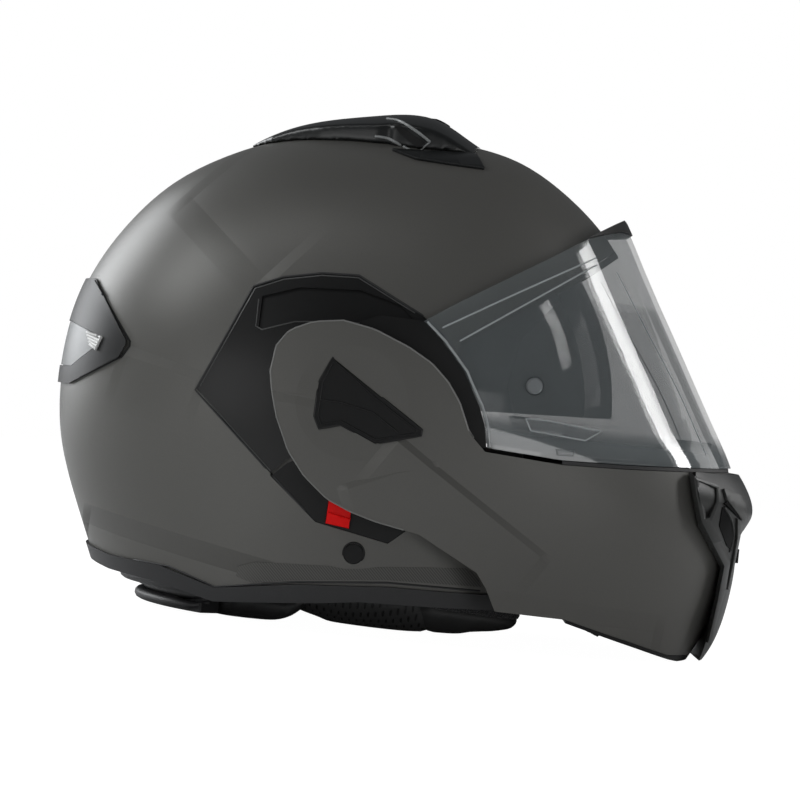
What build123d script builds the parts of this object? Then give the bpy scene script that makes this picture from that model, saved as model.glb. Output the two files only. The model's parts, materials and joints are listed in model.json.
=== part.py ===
from build123d import *
import math
import os

# A modular (flip-back) motorcycle helmet. +X is the way the wearer looks, +Y the wearer's left, +Z up.
# The helmet stands on the chin bar and the neck roll, with its origin on that surface under its middle.
# Every shell is an egg drawn about one axis, the hinge axis of the chin bar, visor and sun visor,
# so each egg turns inside the next one. Side outlines are shares of the shell's reach from that axis.

os.makedirs("parts", exist_ok=True)

# Driving dimensions, in millimetres
hinge_height = 111.5
hinge_setback = 27.5
shell_reach = 154.0
shell_half_width = 115.0
shell_wall = 4.5
chin_reach = 214.0
chin_half_width = 126.5
chin_wall = 3.9
visor_reach = 161.0
visor_half_width = 118.9
visor_wall = 2.4
sun_visor_reach = 130.0
sun_visor_half_width = 104.5
sun_visor_wall = 2.2
head_reach = 103.0
head_half_width = 77.5
liner_padding = 8.5
running_gap = 0.3
seat_gap = 0.3
fit_gap = 0.05
bearing_gap = 0.05
cut_overrun = 60.0

# Hub, axles and the pins on the hinge axis
axle_radius = 8.0
axle_inner = 106.6
axle_flange = 2.6
axle_flange_radius = 13.0
screw_radius = 3.0
hub_clearance_radius = 20.0
sun_hub_radius = 14.0
sun_pin_radius = 4.0
pin_head_depth = 3.0
pin_head_share = 0.6
arm_plate_reach = 206.0
sun_visor_play = 1.0
sun_visor_high_angle = 48.0
sun_visor_travel_angle = 38.0

# Side plates, lock tabs, insets, gasket and trim
plate_thickness = 2.2
plate_pocket = 2.5
channel_depth = 1.2
tab_sink = 1.0
tab_rise = 1.8
tab_travel = 3.0
inset_depth = 1.3
inset_stand = 0.5
gasket_width = 3.0
gasket_drop_share = 0.7
trim_stand = 1.5
rear_panel_thickness = 1.6
grille_thickness = 1.0

# Crown vent slider
crown_slider_front = 33.0
crown_slider_length = 18.0
crown_slider_travel = 9.0
crown_slider_width = 24.0
crown_slider_height = 3.4
crown_slider_floor = 143.2

# Foam and padding
foam_setback = 6.0
foam_lift_share = 0.6
foam_lift = 4.0
padding_reach = 172.0
padding_back = 92.0
cover_height = 3.0
cover_reach = 172.0
cheek_reach = 93.0
cheek_half_width = 61.0
roll_reach = 92.0
roll_half_width = 62.0
roll_round = 3.0
guard_reach = 182.0
guard_half_width = 108.0
guard_thickness = 2.0
guard_back = 150.0
guard_height = 14.0
curtain_reach = 158.0
curtain_half_width = 92.0
curtain_round = 1.5

# Release button, its spring, and the latches
button_forward = 173.5
button_length = 9.0
button_width = 18.0
button_lip = 1.5
button_face_drop = 111.2
button_flange = 1.6
button_top_drop = 106.4
button_travel = 2.5
spring_length = 9.0
spring_radius = 3.6
spring_wire = 0.8
striker_radius = 2.3
striker_inner = 78.0
striker_outer = 103.0
striker_head = 2.0
striker_head_radius = 4.5
hook_inner = 98.0
hook_thickness = 3.0
hook_half = 6.0
hook_length = 15.0
hook_pocket = 40.0

# Vent in the mask
mask_stand = 1.3
mesh_thickness = 0.8
window_top_drop = 44.0
window_width = 46.0
window_height = 17.0
window_corner = 4.0
vent_slider_forward = 199.6
vent_slider_depth = 1.2
vent_slider_height = 7.0

# Visor fittings
seal_height = 1.6
lip_stand = 1.2
insert_thickness = 1.0
insert_pin_radius = 4.4
insert_pin_inner = 102.5
insert_pin_length = 5.6

# Chin strap, its anchors and buckle
strap_width = 24.0
strap_thickness = 1.6
strap_play = 0.6
strap_inner = 102.4
strap_pocket_floor = 98.0
strap_pocket_height = 96.0
strap_turn_share = 0.86
strap_end = 26.0
rivet_radius = 3.0
rivet_head_radius = 5.5
rivet_head = 1.4
cap_radius = 4.6
cap_inner = 107.9
cap_depth = 3.4
buckle_width = 28.0
buckle_length = 40.0
buckle_depth = 7.0
buckle_corner = 3.0
buckle_wall = 3.0
tongue_width = 20.0
tongue_thickness = 2.4
tongue_reach = 12.0
lever_width = 18.0
lever_thickness = 2.2

# Sun visor slider
slider_travel = 12.0
slider_stem = 8.0
slider_stem_height = 3.0
slider_stem_inner = 103.0
slider_knob_inner = 109.6
slider_knob = 15.0
slider_knob_height = 7.0
slider_knob_depth = 3.0

# The eggs' cross section: how the side outline shrinks towards the sides, and where it is drawn
width_power = 2.25
reach_power = 2.3
section_shares = [0.25, 0.45, 0.6, 0.72, 0.82, 0.9, 0.95, 0.98, 0.995]

# Side outlines of the eggs: the angle from straight ahead in degrees, and the share of the egg's reach
shell_outline_shares = {
    0: 0.985, 20: 0.99, 38: 0.987, 51: 0.972, 62: 0.955, 72: 0.922, 82: 0.893, 92: 0.88, 102: 0.882,
    112: 0.896, 124: 0.915, 136: 0.938, 148: 0.952, 162: 0.968, 178: 0.972, 192: 0.977, 206: 0.977,
    220: 1.02, 236: 1.16, 254: 1.36, 272: 1.46, 290: 1.38, 306: 1.15, 320: 1.0, 338: 0.985,
}
chin_outline_shares = {
    0: 0.885, 352: 0.918, 344: 0.962, 336: 0.982, 328: 0.992, 318: 0.985, 306: 0.955, 290: 0.925,
    270: 0.9, 240: 0.885, 200: 0.88, 160: 0.88, 120: 0.88, 80: 0.875, 45: 0.868, 20: 0.862,
}
mask_outline_shares = {
    0: 0.87, 356.5: 0.905, 353.3: 0.951, 349.8: 0.977, 347.5: 0.968, 342: 0.982, 338: 1.0, 331: 1.022,
    324: 1.01, 310: 0.965, 290: 0.925, 270: 0.9, 240: 0.885, 200: 0.88, 160: 0.88, 120: 0.88,
    80: 0.875, 45: 0.868, 20: 0.862,
}
visor_outline_shares = {
    350: 1.25, 356: 1.2, 3: 1.119, 10: 1.062, 18: 1.021, 30: 1.0, 41: 1.02, 54: 1.036, 75: 1.04,
    105: 1.043, 140: 1.045, 180: 1.055, 220: 1.07, 260: 1.12, 300: 1.2, 330: 1.26,
}
round_outline_shares = {angle: 1.0 for angle in range(0, 360, 30)}
head_outline_shares = {
    0: 1.0, 30: 0.985, 60: 0.965, 90: 0.955, 120: 0.97, 150: 0.99, 180: 1.0, 205: 1.02, 230: 1.15,
    250: 1.4, 270: 1.6, 290: 1.6, 310: 1.4, 332: 1.1,
}
crown_outline_shares = {
    0: 0.93, 40: 0.93, 60: 0.93, 67: 0.931, 71: 0.935, 76: 0.954, 81: 0.968, 86: 0.962, 92: 0.945,
    100: 0.933, 108: 0.927, 116: 0.915, 124: 0.9, 140: 0.9, 180: 0.9, 225: 0.9, 270: 0.9, 315: 0.9,
}

# Side outlines of the pieces, as shares of the shell's reach, forward and up from the hinge axis
shell_front_shares = [(0.786, 0.571), (0.721, 0.516), (0.314, 0.229), (0.299, 0.13), (0.313, 0.04),
                      (0.413, -0.168), (0.56, -0.45), (0.585, -0.53)]
shell_bottom_shares = [(0.575, -0.553), (0.162, -0.556), (-0.123, -0.578), (-0.37, -0.617),
                       (-0.552, -0.571), (-0.727, -0.565), (-1.1, -0.5)]
trim_bottom_shares = [(0.575, -0.6), (0.083, -0.612), (-0.052, -0.63), (-0.37, -0.662),
                      (-0.552, -0.625), (-0.727, -0.612), (-1.1, -0.54)]
plate_upper_shares = [(-0.487, -0.009), (-0.342, 0.323), (-0.254, 0.361), (-0.135, 0.386),
                      (-0.021, 0.391), (0.189, 0.287), (0.262, 0.236), (0.252, 0.13), (0.264, 0.03),
                      (-0.184, -0.198), (-0.229, -0.245)]
plate_lower_shares = [(-0.229, -0.252), (-0.076, -0.379), (0.153, -0.423), (0.205, -0.378),
                      (0.39, -0.338), (0.35, -0.15), (0.27, 0.02), (-0.182, -0.206)]
plate_pocket_shares = [(-0.487, -0.009), (-0.342, 0.323), (-0.254, 0.361), (-0.135, 0.386),
                       (-0.021, 0.391), (0.189, 0.287), (0.262, 0.236), (0.252, 0.13), (0.264, 0.03),
                       (0.27, 0.02), (0.35, -0.15), (0.39, -0.338), (0.205, -0.378), (0.153, -0.423),
                       (-0.076, -0.379), (-0.229, -0.252), (-0.229, -0.245)]
channel_shares = [(-0.314, 0.191), (-0.313, 0.297), (-0.199, 0.336), (-0.014, 0.347), (0.114, 0.314),
                  (0.17, 0.266), (0.065, 0.25), (-0.032, 0.266), (-0.13, 0.256), (-0.234, 0.227)]
arm_oval_shares = [(0.42, -0.109), (0.369, -0.06), (0.328, 0.034), (0.286, 0.093), (0.231, 0.144),
                   (0.156, 0.186), (0.045, 0.23), (-0.052, 0.247), (-0.143, 0.234), (-0.214, 0.201),
                   (-0.25, 0.149), (-0.26, 0.071), (-0.249, 0.008), (-0.227, -0.067),
                   (-0.181, -0.168), (-0.124, -0.24), (-0.047, -0.303), (0.027, -0.334),
                   (0.107, -0.357), (0.245, -0.382)]
chin_rear_shares = [(0.434, -0.482), (0.468, -0.529), (0.503, -0.597)]
chin_bottom_shares = [(0.727, -0.604), (0.97, -0.668), (1.08, -0.7), (1.2, -0.706), (1.26, -0.69)]
visor_rear_shares = [(0.193, 0.271), (0.255, 0.217), (0.332, 0.131), (0.39, 0.03), (0.412, -0.025),
                     (0.426, -0.097)]
visor_bottom_shares = [(0.662, -0.111), (0.864, -0.106), (1.247, -0.088)]
visor_top_shares = [(0.846, 0.633), (0.799, 0.634), (0.684, 0.591), (0.569, 0.514), (0.271, 0.325)]
arm_inset_shares = [(-0.073, 0.129), (-0.108, 0.051), (-0.11, -0.055), (-0.093, -0.091),
                    (-0.028, -0.072), (0.082, -0.119), (0.219, -0.079), (0.221, -0.062)]
mask_rear_shares = [(1.096, -0.125), (1.145, -0.286), (1.232, -0.412), (1.225, -0.499), (1.2, -0.72)]
rear_panel_shares = [(-0.871, 0.31), (-0.731, 0.119), (-0.731, 0.104), (-0.751, 0.063), (-0.92, -0.036)]
rear_recess_shares = [(-0.945, 0.168), (-0.832, 0.128), (-0.827, 0.11), (-0.846, 0.079), (-0.918, 0.02)]
lip_shares = [(0.684, 0.595), (0.799, 0.638), (0.846, 0.637), (0.852, 0.66), (0.812, 0.681)]
lock_tab_shares = [(-0.041, -0.3), (0.03, -0.332), (0.029, -0.388), (-0.044, -0.379)]
arm_plate_shares = [(0.24, 0.06), (0.16, 0.14), (0.04, 0.2), (-0.05, 0.215), (-0.13, 0.2),
                    (-0.19, 0.165), (-0.225, 0.06), (-0.2, -0.06), (-0.15, -0.16), (-0.1, -0.22),
                    (-0.02, -0.275), (0.1, -0.3), (0.3, -0.3), (0.34, -0.15)]
visor_arm_shares = [(0.22, -0.1), (0.02, -0.13), (-0.09, -0.1), (-0.13, 0), (-0.1, 0.11), (-0.03, 0.2),
                    (0.0, 0.25), (0.06, 0.275)]
insert_shares = [(0.5, 0.0), (0.47, 0.1), (0.5, 0.25), (0.62, 0.4), (1.7, 0.4), (1.7, 0.0)]
comfort_shares = [(0.64, 0.46), (0.2, 0.13), (0.1, -0.02), (-0.1, -0.06), (-0.42, -0.3), (-1, -0.3),
                  (-1, 1), (0.64, 1)]
cheek_shares = [(-0.05, -0.634), (-0.12, -0.7), (0.316, -0.7), (0.583, -0.666), (0.62, -0.6),
                (0.5, -0.35), (0.38, -0.14), (0.1, -0.1), (-0.03, -0.12)]
cheek_pillow_shares = [(-0.07, -0.66), (0.1, -0.705), (0.33, -0.705), (0.56, -0.675), (0.6, -0.58),
                       (0.5, -0.36), (0.37, -0.17), (0.17, -0.1), (-0.02, -0.16), (-0.06, -0.4)]
cheek_middle_share = (0.25, -0.42)
cheek_swell_shares = [(0.13, 0.72), (0.52, 0.86), (0.75, 0.95), (0.9, 1.0), (1.03, 1.0), (1.14, 0.96)]
roll_shares = [(-0.07, -0.6), (-0.058, -0.632), (-0.138, -0.712), (-0.169, -0.724), (-0.42, -0.724),
               (-0.6, -0.70), (-0.66, -0.66), (-0.66, -0.6), (-0.56, -0.585), (-0.37, -0.635),
               (-0.123, -0.595)]
cover_bottom_shares = [(0.727, -0.615), (0.97, -0.682), (1.085, -0.716), (1.12, -0.724), (1.195, -0.724),
                       (1.26, -0.705)]
curtain_shares = [(0.8, -0.6), (0.79, -0.64), (0.87, -0.685), (0.96, -0.714), (1.03, -0.714),
                  (1.05, -0.66)]
crown_vent_shares = [(0.35, 0.0), (0.345, 0.2), (0.325, 0.28), (0.13, 0.31), (0.03, 0.3), (0.03, 0.0)]
crown_spoiler_shares = [(0.028, 0.0), (0.028, 0.29), (-0.02, 0.29), (-0.2, 0.24), (-0.36, 0.17),
                        (-0.43, 0.08), (-0.43, 0.0)]
sun_visor_shares = [(0.06, -0.045), (0.39, 0.013), (0.9, 0.034), (1.3, 0.034)]
skirt_plan_shares = [(0.645, 0.73), (0.888, 0.42), (1.0, 0.0)]
skirt_rib_shares = [(0.614, 0.022, 0.695), (0.636, 0.026, 0.655), (0.662, 0.02, 0.615), (0.682, 0.032, 0.64)]
skirt_inner_share = 0.56
strap_drop_shares = [-0.55, -0.6, -0.65]

# Places on the sides: strap cap, latch striker, latch hook's pocket, insert pin, sun visor slider's slot
place_shares = [(0.051, -0.465), (0.507, -0.468), (0.55, -0.42), (0.553, 0.108), (0.28, -0.49)]


def side_plane(across=0):
    """The plane of a side view through the hinge axis, this far to the wearer's left."""
    return Plane(origin=(-hinge_setback, across, hinge_height), x_dir=(1, 0, 0), z_dir=(0, -1, 0))


def across_plane(side, forward):
    """A plane square to the way ahead, drawn as seen from the front or the back."""
    return Plane(origin=(forward, 0, hinge_height), x_dir=(0, side, 0), z_dir=(side, 0, 0))


# Plan outlines are drawn at the height of the hinge axis, and moved up or down from there
plan_plane = Plane(origin=(-hinge_setback, 0, hinge_height), x_dir=(1, 0, 0), z_dir=(0, 0, 1))


def placed(shares):
    """Turns shares of the shell's reach into lengths."""
    return [(forward * shell_reach, up * shell_reach) for forward, up in shares]


def mirrored(half_shares):
    """A plan outline from its left half, in lengths."""
    half = placed(half_shares)
    return half + [(forward, -across) for forward, across in reversed(half) if across]


def egg(outline_shares, reach, half_width):
    """A closed egg about the hinge axis, lofted from one side to the other."""
    across_shares = [-share for share in reversed(section_shares)] + [0] + section_shares
    with BuildPart() as body:
        for across in across_shares:
            shrink = (1 - abs(across) ** width_power) ** (1 / reach_power)
            with BuildSketch(side_plane(across * half_width)):
                with BuildLine():
                    Spline(
                        *[
                            (
                                reach * share * shrink * math.cos(math.radians(angle)),
                                reach * share * shrink * math.sin(math.radians(angle)),
                            )
                            for angle, share in sorted(outline_shares.items())
                        ],
                        periodic=True,
                    )
                make_face()
        loft()
    return body.part


def slab(points, side=0, grow=0):
    """Everything inside a side outline: through the whole helmet, or on one side of it only."""
    with BuildPart() as body:
        with BuildSketch(side_plane()):
            with BuildLine():
                Polyline(*points, close=True)
            make_face()
            if grow:
                offset(amount=grow, kind=Kind.INTERSECTION)
        if side:
            extrude(amount=-side * (chin_half_width + cut_overrun))
        else:
            extrude(amount=chin_half_width + cut_overrun, both=True)
    return body.part


def wall(outer, inner, points, side=0, grow=0):
    """The layer between two eggs, inside a side outline."""
    with BuildPart() as body:
        add(outer)
        add(slab(points, side, grow), mode=Mode.INTERSECT)
        add(inner, mode=Mode.SUBTRACT)
    return body.part


def pillow(outline_shares, middle_share, swell_shares, side):
    """A cushion's form: its outline swells and shrinks about its middle from plane to plane."""
    middle_forward, middle_up = placed([middle_share])[0]
    with BuildPart() as body:
        for across_share, swell in swell_shares:
            with BuildSketch(side_plane(side * across_share * head_half_width)):
                with BuildLine():
                    Spline(
                        *[
                            (
                                middle_forward + swell * (forward - middle_forward),
                                middle_up + swell * (up - middle_up),
                            )
                            for forward, up in placed(outline_shares)
                        ],
                        periodic=True,
                    )
                make_face()
        loft()
    return body.part


cap_place, striker_place, hook_pocket_place, insert_pin_place, slot_place = placed(place_shares)

# The outer shell, with the pockets and holes for what sits in it
shell_outer = egg(shell_outline_shares, shell_reach, shell_half_width)
shell_inner = egg(shell_outline_shares, shell_reach - shell_wall, shell_half_width - shell_wall)
shell_cover = egg(shell_outline_shares, shell_reach + seat_gap / 2, shell_half_width + seat_gap / 2)
pocket_floor = egg(shell_outline_shares, shell_reach - plate_pocket, shell_half_width - plate_pocket)
front_edge = placed(shell_front_shares)
bottom_edge = placed(shell_bottom_shares)
behind = shell_reach + cut_overrun
shell_side = front_edge + bottom_edge
shell_side += [(-behind, bottom_edge[-1][1]), (-behind, behind), (front_edge[0][0], behind)]

with BuildPart() as outer_shell:
    add(wall(shell_outer, shell_inner, shell_side))
    add(wall(shell_cover, pocket_floor, placed(plate_pocket_shares)), mode=Mode.SUBTRACT)
    with BuildSketch(side_plane()):
        Circle(axle_radius + seat_gap)
        with Locations(cap_place):
            Circle(cap_radius + seat_gap)
        with Locations(striker_place):
            Circle(striker_radius + fit_gap)
    extrude(amount=chin_half_width, both=True, mode=Mode.SUBTRACT)
    with BuildSketch(side_plane()):
        with Locations(slot_place):
            SlotOverall(slider_stem + slider_travel + slider_stem_height, slider_stem_height + 2 * seat_gap)
    extrude(amount=-chin_half_width, mode=Mode.SUBTRACT)

outer_shell.part.label = "outer_shell"
export_step(outer_shell.part, "parts/outer_shell.step")

# The dark plates in the shell's side pockets, round the hub
plate_floor = egg(
    shell_outline_shares, shell_reach - plate_thickness, shell_half_width - plate_thickness
)
channel_floor = egg(
    shell_outline_shares, shell_reach - channel_depth, shell_half_width - channel_depth
)
tab_under = egg(shell_outline_shares, shell_reach - tab_sink, shell_half_width - tab_sink)
tab_pocket_floor = egg(
    shell_outline_shares, shell_reach - tab_sink - seat_gap, shell_half_width - tab_sink - seat_gap
)
tab_top = egg(shell_outline_shares, shell_reach + tab_rise, shell_half_width + tab_rise)
tab_side = placed(lock_tab_shares)
tab_slot = [(forward, up + tab_travel) for forward, up in tab_side[:2]] + tab_side[2:]

for side, hand in ((-1, "right"), (1, "left")):
    with BuildPart() as side_plate:
        add(wall(shell_outer, plate_floor, placed(plate_upper_shares), side, grow=-seat_gap))
        add(wall(shell_cover, channel_floor, placed(channel_shares), side), mode=Mode.SUBTRACT)
        with BuildSketch(side_plane()):
            Circle(hub_clearance_radius)
        extrude(amount=chin_half_width, both=True, mode=Mode.SUBTRACT)

    side_plate.part.label = f"side_plate_{hand}"
    export_step(side_plate.part, f"parts/side_plate_{hand}.step")

    with BuildPart() as side_plate_lower:
        add(wall(shell_outer, plate_floor, placed(plate_lower_shares), side, grow=-seat_gap))
        add(wall(shell_cover, tab_pocket_floor, tab_slot, side, grow=running_gap), mode=Mode.SUBTRACT)
        with BuildSketch(side_plane()):
            Circle(hub_clearance_radius)
        extrude(amount=chin_half_width, both=True, mode=Mode.SUBTRACT)

    side_plate_lower.part.label = f"side_plate_lower_{hand}"
    export_step(side_plate_lower.part, f"parts/side_plate_lower_{hand}.step")

    with BuildPart() as lock_tab:
        add(wall(tab_top, tab_under, tab_side, side))

    lock_tab.part.label = f"lock_tab_{hand}"
    export_step(lock_tab.part, f"parts/lock_tab_{hand}.step")

# The rubber edge round the eye port and the shell's front
with BuildPart() as eyeport_gasket:
    edge = [(forward + seat_gap / 2, up - seat_gap / 2) for forward, up in front_edge]
    rim = [(forward + gasket_width, up - gasket_width * gasket_drop_share) for forward, up in front_edge]
    edge = [(edge[0][0], behind)] + edge
    rim = [(rim[0][0], behind)] + rim
    add(wall(shell_outer, shell_inner, edge + list(reversed(rim))))

eyeport_gasket.part.label = "eyeport_gasket"
export_step(eyeport_gasket.part, "parts/eyeport_gasket.step")

# The thick rubber trim under the shell's lower edge
trim_outer = egg(shell_outline_shares, shell_reach + trim_stand, shell_half_width + trim_stand)
trim_inner = egg(
    shell_outline_shares, shell_reach - shell_wall - trim_stand, shell_half_width - shell_wall - trim_stand
)
trim_top_edge = [(forward, up - seat_gap / 2) for forward, up in bottom_edge]
trim_side = trim_top_edge + list(reversed(placed(trim_bottom_shares)))

with BuildPart() as base_trim:
    add(wall(trim_outer, trim_inner, trim_side))

base_trim.part.label = "base_trim"
export_step(base_trim.part, "parts/base_trim.step")

# The crown vent, its slider and the spoiler behind it, standing on the shell
crown_egg = egg(crown_outline_shares, shell_reach, shell_half_width)


def crown_piece(plan):
    """What stands on the shell's crown inside a plan outline."""
    with BuildPart() as body:
        add(crown_egg)
        with BuildSketch(plan_plane):
            with BuildLine():
                Polyline(*plan, close=True)
            make_face()
        extrude(amount=shell_reach, mode=Mode.INTERSECT)
        add(shell_cover, mode=Mode.SUBTRACT)
    return body.part


slider_pocket_middle = crown_slider_front - (crown_slider_length + crown_slider_travel) / 2

with BuildPart() as crown_vent_base:
    add(crown_piece(mirrored(crown_vent_shares)))
    with BuildSketch(plan_plane.offset(crown_slider_floor)):
        with Locations((slider_pocket_middle, 0)):
            Rectangle(
                crown_slider_length + crown_slider_travel + 2 * running_gap,
                crown_slider_width + 2 * running_gap,
            )
    extrude(amount=cut_overrun, mode=Mode.SUBTRACT)

crown_vent_base.part.label = "crown_vent_base"
export_step(crown_vent_base.part, "parts/crown_vent_base.step")

with BuildPart() as crown_vent_slider:
    with BuildSketch(plan_plane.offset(crown_slider_floor + running_gap)):
        with Locations((crown_slider_front - crown_slider_length / 2, 0)):
            RectangleRounded(crown_slider_length, crown_slider_width, crown_slider_height)
    extrude(amount=crown_slider_height)

crown_vent_slider.part.label = "crown_vent_slider"
export_step(crown_vent_slider.part, "parts/crown_vent_slider.step")

with BuildPart() as crown_spoiler:
    add(crown_piece(mirrored(crown_spoiler_shares)))

crown_spoiler.part.label = "crown_spoiler"
export_step(crown_spoiler.part, "parts/crown_spoiler.step")

# The rear exhaust panel and the slatted grille in its recess
rear_outer = egg(
    shell_outline_shares, shell_reach + rear_panel_thickness, shell_half_width + rear_panel_thickness
)
grille_outer = egg(
    shell_outline_shares, shell_reach + grille_thickness, shell_half_width + grille_thickness
)
panel_points = placed(rear_panel_shares)
panel_side = [(-behind, panel_points[0][1])] + panel_points + [(-behind, panel_points[-1][1])]
recess_points = placed(rear_recess_shares)
recess_side = [(-behind, recess_points[0][1])] + recess_points + [(-behind, recess_points[-1][1])]

with BuildPart() as rear_vent_panel:
    add(wall(rear_outer, shell_cover, panel_side))
    add(slab(recess_side), mode=Mode.SUBTRACT)

rear_vent_panel.part.label = "rear_vent_panel"
export_step(rear_vent_panel.part, "parts/rear_vent_panel.step")

with BuildPart() as rear_vent_grille:
    add(wall(grille_outer, shell_cover, recess_side, grow=-seat_gap))

rear_vent_grille.part.label = "rear_vent_grille"
export_step(rear_vent_grille.part, "parts/rear_vent_grille.step")

# The foam liner, with the slot that takes the sun visor
cavity_reach = head_reach + liner_padding + seat_gap
cavity_half_width = head_half_width + liner_padding + seat_gap
foam_outer = egg(
    shell_outline_shares, shell_reach - shell_wall - seat_gap, shell_half_width - shell_wall - seat_gap
)
cavity_egg = egg(head_outline_shares, cavity_reach, cavity_half_width)
slot_outer = egg(
    round_outline_shares, sun_visor_reach + sun_visor_play, sun_visor_half_width + sun_visor_play
)
slot_inner = egg(
    round_outline_shares,
    sun_visor_reach - sun_visor_wall - sun_visor_play,
    sun_visor_half_width - sun_visor_wall - sun_visor_play,
)
foam_front = [(forward - foam_setback, up + foam_setback * foam_lift_share) for forward, up in front_edge]
foam_bottom = [(forward, up + foam_lift) for forward, up in bottom_edge]
foam_bottom[0] = (foam_front[-1][0], foam_bottom[0][1])
foam_side = foam_front + foam_bottom
foam_side += [(-behind, foam_bottom[-1][1]), (-behind, behind), (foam_front[0][0], behind)]
slot_turn = sun_visor_high_angle + sun_visor_travel_angle + 1
slot_side = [
    (-sun_hub_radius - sun_visor_play, -sun_hub_radius - sun_visor_play),
    (behind, -sun_hub_radius - sun_visor_play),
    (behind, behind),
    (
        behind * math.cos(math.radians(slot_turn)) - sun_hub_radius - sun_visor_play,
        behind * math.sin(math.radians(slot_turn)),
    ),
    (-sun_hub_radius - sun_visor_play, sun_hub_radius + sun_visor_play),
]

pin_face = (sun_visor_half_width - sun_visor_wall) * section_shares[-1] - running_gap

with BuildPart() as eps_liner:
    add(wall(foam_outer, cavity_egg, foam_side))
    add(wall(slot_outer, slot_inner, slot_side), mode=Mode.SUBTRACT)
    for side in (-1, 1):
        with BuildSketch(side_plane(side * (pin_face - pin_head_depth))):
            Circle(sun_hub_radius + sun_visor_play)
        extrude(amount=-side * cut_overrun, mode=Mode.SUBTRACT)
        with BuildSketch(side_plane(side * (striker_inner - seat_gap))):
            with Locations(striker_place):
                Circle(striker_head_radius + seat_gap)
        extrude(amount=-side * cut_overrun, mode=Mode.SUBTRACT)
        with BuildSketch(side_plane(side * strap_pocket_floor)):
            with Locations((cap_place[0], cap_place[1] - strap_width)):
                Rectangle(strap_width + 2 * strap_play, strap_pocket_height)
        extrude(amount=-side * cut_overrun, mode=Mode.SUBTRACT)
    with BuildSketch(side_plane(slider_stem_inner - seat_gap)):
        with Locations(slot_place):
            SlotOverall(slider_stem + slider_travel + 2 * slider_stem_height, 2 * slider_stem_height)
    extrude(amount=-cut_overrun, mode=Mode.SUBTRACT)

eps_liner.part.label = "eps_liner"
export_step(eps_liner.part, "parts/eps_liner.step")

# The sun visor turns in the foam's slot on two pins
sun_outer = egg(round_outline_shares, sun_visor_reach, sun_visor_half_width)
sun_inner = egg(
    round_outline_shares, sun_visor_reach - sun_visor_wall, sun_visor_half_width - sun_visor_wall
)
sun_high = math.radians(sun_visor_high_angle)
sun_side = [(-sun_hub_radius / 2, sun_hub_radius / 2), (-sun_hub_radius / 2, -sun_hub_radius / 2)]
sun_side += placed(sun_visor_shares)
sun_side += [
    (behind, behind * math.tan(sun_high) / 2),
    (behind * math.cos(sun_high), behind * math.sin(sun_high)),
]

with BuildPart() as sun_visor_lens:
    add(wall(sun_outer, sun_inner, sun_side))
    with BuildSketch(side_plane()):
        Circle(sun_pin_radius + bearing_gap)
    extrude(amount=chin_half_width, both=True, mode=Mode.SUBTRACT)

sun_visor_lens.part.label = "sun_visor_lens"
export_step(sun_visor_lens.part, "parts/sun_visor_lens.step")

# Beside the hinge axis: sun visor pins, screws and the hardened axles that carry the chin bar
with BuildPart() as sun_visor_pins:
    for side in (-1, 1):
        with BuildSketch(side_plane(side * pin_face)):
            Circle(sun_pin_radius)
        extrude(amount=-side * (axle_inner - seat_gap - pin_face))
        with BuildSketch(side_plane(side * pin_face)):
            Circle(sun_hub_radius * pin_head_share)
        extrude(amount=side * (pin_head_depth - 2 * seat_gap))

sun_visor_pins.part.label = "sun_visor_pins"
export_step(sun_visor_pins.part, "parts/sun_visor_pins.step")

axle_end = (chin_half_width - chin_wall) * section_shares[-1] - seat_gap

for side, hand in ((-1, "right"), (1, "left")):
    with BuildPart() as pivot_axle:
        with BuildSketch(side_plane(side * axle_inner)):
            Circle(axle_radius)
            Circle(screw_radius, mode=Mode.SUBTRACT)
        extrude(amount=-side * (axle_end - axle_inner))
        with BuildSketch(side_plane(side * axle_inner)):
            Circle(axle_flange_radius)
            Circle(axle_radius - seat_gap, mode=Mode.SUBTRACT)
        extrude(amount=-side * axle_flange)

    pivot_axle.part.label = f"pivot_axle_{hand}"
    export_step(pivot_axle.part, f"parts/pivot_axle_{hand}.step")

with BuildPart() as pivot_screws:
    for side in (-1, 1):
        with BuildSketch(side_plane(side * (axle_inner + axle_flange))):
            Circle(screw_radius - fit_gap)
        extrude(amount=-side * (axle_end - axle_inner - 2 * axle_flange))

pivot_screws.part.label = "pivot_screws"
export_step(pivot_screws.part, "parts/pivot_screws.step")

# The chin bar and what is fixed to it
chin_outer = egg(chin_outline_shares, chin_reach, chin_half_width)
chin_inner = egg(chin_outline_shares, chin_reach - chin_wall, chin_half_width - chin_wall)
chin_cover = egg(chin_outline_shares, chin_reach + seat_gap / 2, chin_half_width + seat_gap / 2)
inset_floor = egg(
    chin_outline_shares, chin_reach - inset_depth - seat_gap, chin_half_width - inset_depth - seat_gap
)
arm_oval = placed(arm_oval_shares)
visor_lower = placed(visor_bottom_shares)
chin_rim = [(forward, up - seal_height - 2 * seat_gap) for forward, up in visor_lower]
ahead = chin_reach + cut_overrun
chin_side = placed(chin_rear_shares + chin_bottom_shares)
chin_side += [(ahead, chin_side[-1][1]), (ahead, chin_rim[-1][1])]
chin_side += reversed(chin_rim)

with BuildPart() as chin_bar_shell:
    add(wall(chin_outer, chin_inner, arm_oval + chin_side))
    add(wall(chin_cover, inset_floor, placed(arm_inset_shares)), mode=Mode.SUBTRACT)
    with BuildSketch(plan_plane.offset(-cut_overrun * 2)):
        with Locations((button_forward, 0)):
            Rectangle(button_length + 2 * button_lip, button_width + 2 * button_lip)
    extrude(amount=cut_overrun * 2 - button_top_drop + button_travel, mode=Mode.SUBTRACT)

chin_bar_shell.part.label = "chin_bar_shell"
export_step(chin_bar_shell.part, "parts/chin_bar_shell.step")

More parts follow.
